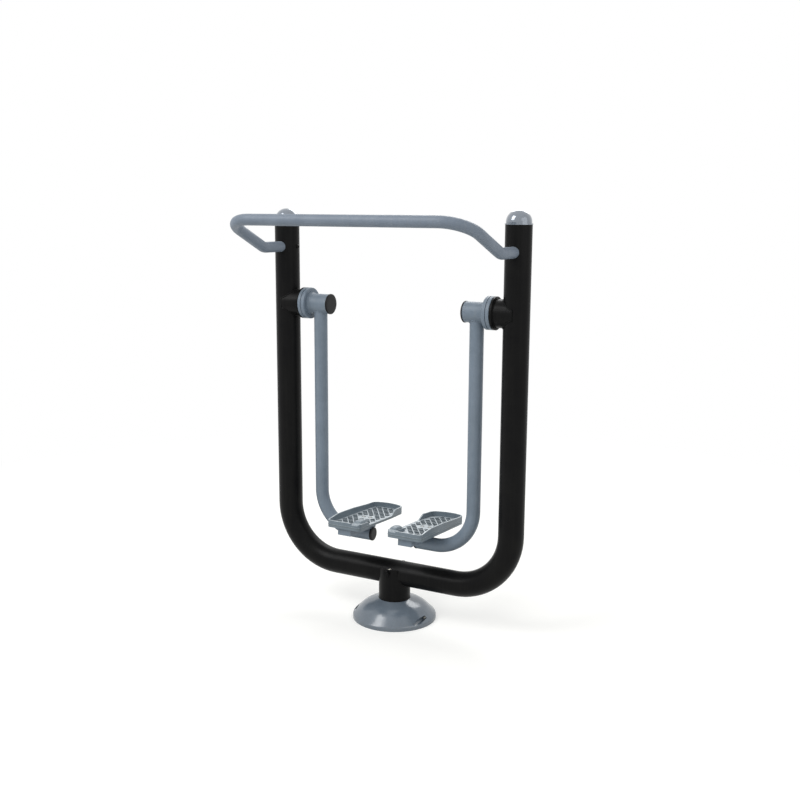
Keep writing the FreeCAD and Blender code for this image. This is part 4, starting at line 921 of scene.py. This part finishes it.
# The pad on a footplate's toe corner, crowned a little above the casting's own top
toePad = {
    "inner": 54.6,
    "outer": 88.6,
    "front": -160.0,
    "back": -99.0,
    "level": 68.5,
    "rise": 12.5,
    "fullness": 4,          # a higher power makes the crown flatter on top and steeper at its rim
    "corner": 0.2,          # how far the corners are drawn in, as the casting's are
    "sunk": 2.0,
    "cells": 18,
}


def makeToePads():
    pad = toePad
    cells = pad["cells"]
    middleX = (pad["inner"] + pad["outer"]) / 2
    middleY = (pad["front"] + pad["back"]) / 2
    for side, sign in sides:
        build = bmesh.new()
        grid = []
        for i in range(cells + 1):
            u = 2 * i / cells - 1
            row = []
            for j in range(cells + 1):
                v = 2 * j / cells - 1
                x = middleX + u * math.sqrt(1 - pad["corner"] * v * v) * (pad["outer"] - pad["inner"]) / 2
                y = middleY + v * math.sqrt(1 - pad["corner"] * u * u) * (pad["back"] - pad["front"]) / 2
                level = pad["level"] + pad["rise"] * (1 - u ** pad["fullness"]) * (1 - v ** pad["fullness"])
                row.append(build.verts.new(onFoot(x * sign, y, level) * mm))
            grid.append(row)
        for i in range(cells):
            for j in range(cells):
                build.faces.new((grid[i][j], grid[i + 1][j], grid[i + 1][j + 1], grid[i][j + 1]))
        under = build.verts.new(onFoot(middleX * sign, middleY, pad["level"] - pad["sunk"]) * mm)
        rim = grid[0] + [row[-1] for row in grid[1:]] + grid[-1][-2::-1] + [row[0] for row in grid[-2:0:-1]]
        for a, b in zip(rim, rim[1:] + rim[:1]):
            build.faces.new((a, b, under))
        addPiece("pedalToePad_" + side, build, "arm_" + side, toeCast)


makeToePads()
print("toe pads")


# studio: a pale floor that turns white further out, and soft white light from all round
studio = {
    "floorHex": "#d9d9d6",
    "fibreHex": "#d2d2cf",
    "fibreMm": 4.0,         # real paper fibres are finer, drawn coarser so they show
    "floorSize": 60.0,
    "floorRoughness": 0.95,
    "floorSpecular": 0.1,
    "paperWhite": 0.38,     # white added where the floor is seen
    "paperFrom": 1.4,       # from here out the floor turns into plain white
    "paperTo": 3.2,
    "worldStrength": 0.60,
}
white = (1.0, 1.0, 1.0, 1.0)

# one large soft lamp, a weaker one across and one behind, all aimed at the middle of the frame
lamps = {
    "keyLamp": {"place": (-2.2, -3.2, 4.4), "width": 2.4, "height": 3.2, "power": 145.0},
    "fillLamp": {"place": (3.6, -1.0, 2.4), "width": 3.0, "height": 3.0, "power": 25.0},
    "backLamp": {"place": (-0.6, 3.4, 3.6), "width": 3.0, "height": 2.0, "power": 70.0},
}
lampAim = Vector((0, 0, 0.8))


# one for the rays that show the background: the camera's, and those off metal or through glass
def seenRays(tree):
    rays = addNode(tree, "LightPath")
    straight = addNode(tree, "Math", {"operation": "MAXIMUM"},
                       {0: (rays, "Is Camera Ray"), 1: (rays, "Is Glossy Ray")})
    return addNode(tree, "Math", {"operation": "MAXIMUM"},
                   {0: (straight, "Value"), 1: (rays, "Is Transmission Ray")})


def makeFloor():
    mesh = bpy.data.meshes.new("studioFloor")
    build = bmesh.new()
    half = studio["floorSize"] / 2
    corners = [build.verts.new((x * half, y * half, 0)) for x, y in ((-1, -1), (1, -1), (1, 1), (-1, 1))]
    build.faces.new(corners)
    build.to_mesh(mesh)
    build.free()
    floor = bpy.data.objects.new("studioFloor", mesh)
    scene.collection.objects.link(floor)
    material, tree, shader, place = newMaterial("studioPaper")
    fibres = addNode(tree, "TexNoise", {"Scale": everyMm(studio["fibreMm"]), "Detail": 3.0},
                     {"Vector": (place, "Object")})
    tone = addNode(tree, "Mix",
                   {"data_type": "RGBA", 6: fromHex(studio["floorHex"]), 7: fromHex(studio["fibreHex"])},
                   {0: (fibres, "Fac")})
    tree.links.new(tone.outputs[2], shader.inputs["Base Color"])
    shader.inputs["Roughness"].default_value = studio["floorRoughness"]
    shader.inputs["Specular IOR Level"].default_value = studio["floorSpecular"]
    # what is seen of the floor is lifted towards white, and wholly white far out
    glow = addNode(tree, "Emission", {"Color": white, "Strength": studio["paperWhite"]})
    lifted = addNode(tree, "AddShader", None, {0: (shader, "BSDF"), 1: (glow, "Emission")})
    plain = addNode(tree, "Emission", {"Color": white, "Strength": 1.0})
    away = addNode(tree, "VectorMath", {"operation": "LENGTH"}, {0: (place, "Object")})
    far = addNode(tree, "MapRange", {"From Min": studio["paperFrom"], "From Max": studio["paperTo"]},
                  {"Value": (away, "Value")})
    paper = addNode(tree, "MixShader", None,
                    {0: (far, "Result"), 1: (lifted, "Shader"), 2: (plain, "Emission")})
    either = addNode(tree, "MixShader", None,
                     {0: (seenRays(tree), "Value"), 1: (shader, "BSDF"), 2: (paper, "Shader")})
    tree.links.new(either.outputs["Shader"], tree.nodes["Material Output"].inputs["Surface"])
    mesh.materials.append(material)


def makeLamp(name, look):
    lamp = bpy.data.lights.new(name, "AREA")
    lamp.shape = "RECTANGLE"
    lamp.size = look["width"]
    lamp.size_y = look["height"]
    lamp.energy = look["power"]
    thing = bpy.data.objects.new(name, lamp)
    thing.location = look["place"]
    thing.rotation_euler = (Vector(look["place"]) - lampAim).to_track_quat("Z", "Y").to_euler()
    scene.collection.objects.link(thing)


def makeWorld():
    world = bpy.data.worlds.new("studioWorld")
    world.use_nodes = True
    scene.world = world
    tree = world.node_tree
    tree.nodes.clear()
    soft = addNode(tree, "Background", {"Color": white, "Strength": studio["worldStrength"]})
    plain = addNode(tree, "Background", {"Color": white, "Strength": 1.0})
    either = addNode(tree, "MixShader", None,
                     {0: (seenRays(tree), "Value"), 1: (soft, "Background"), 2: (plain, "Background")})
    addNode(tree, "OutputWorld", None, {"Surface": (either, "Shader")})


makeFloor()
for name, look in lamps.items():
    makeLamp(name, look)
makeWorld()
scene.view_settings.view_transform = "Standard"
print("studio")
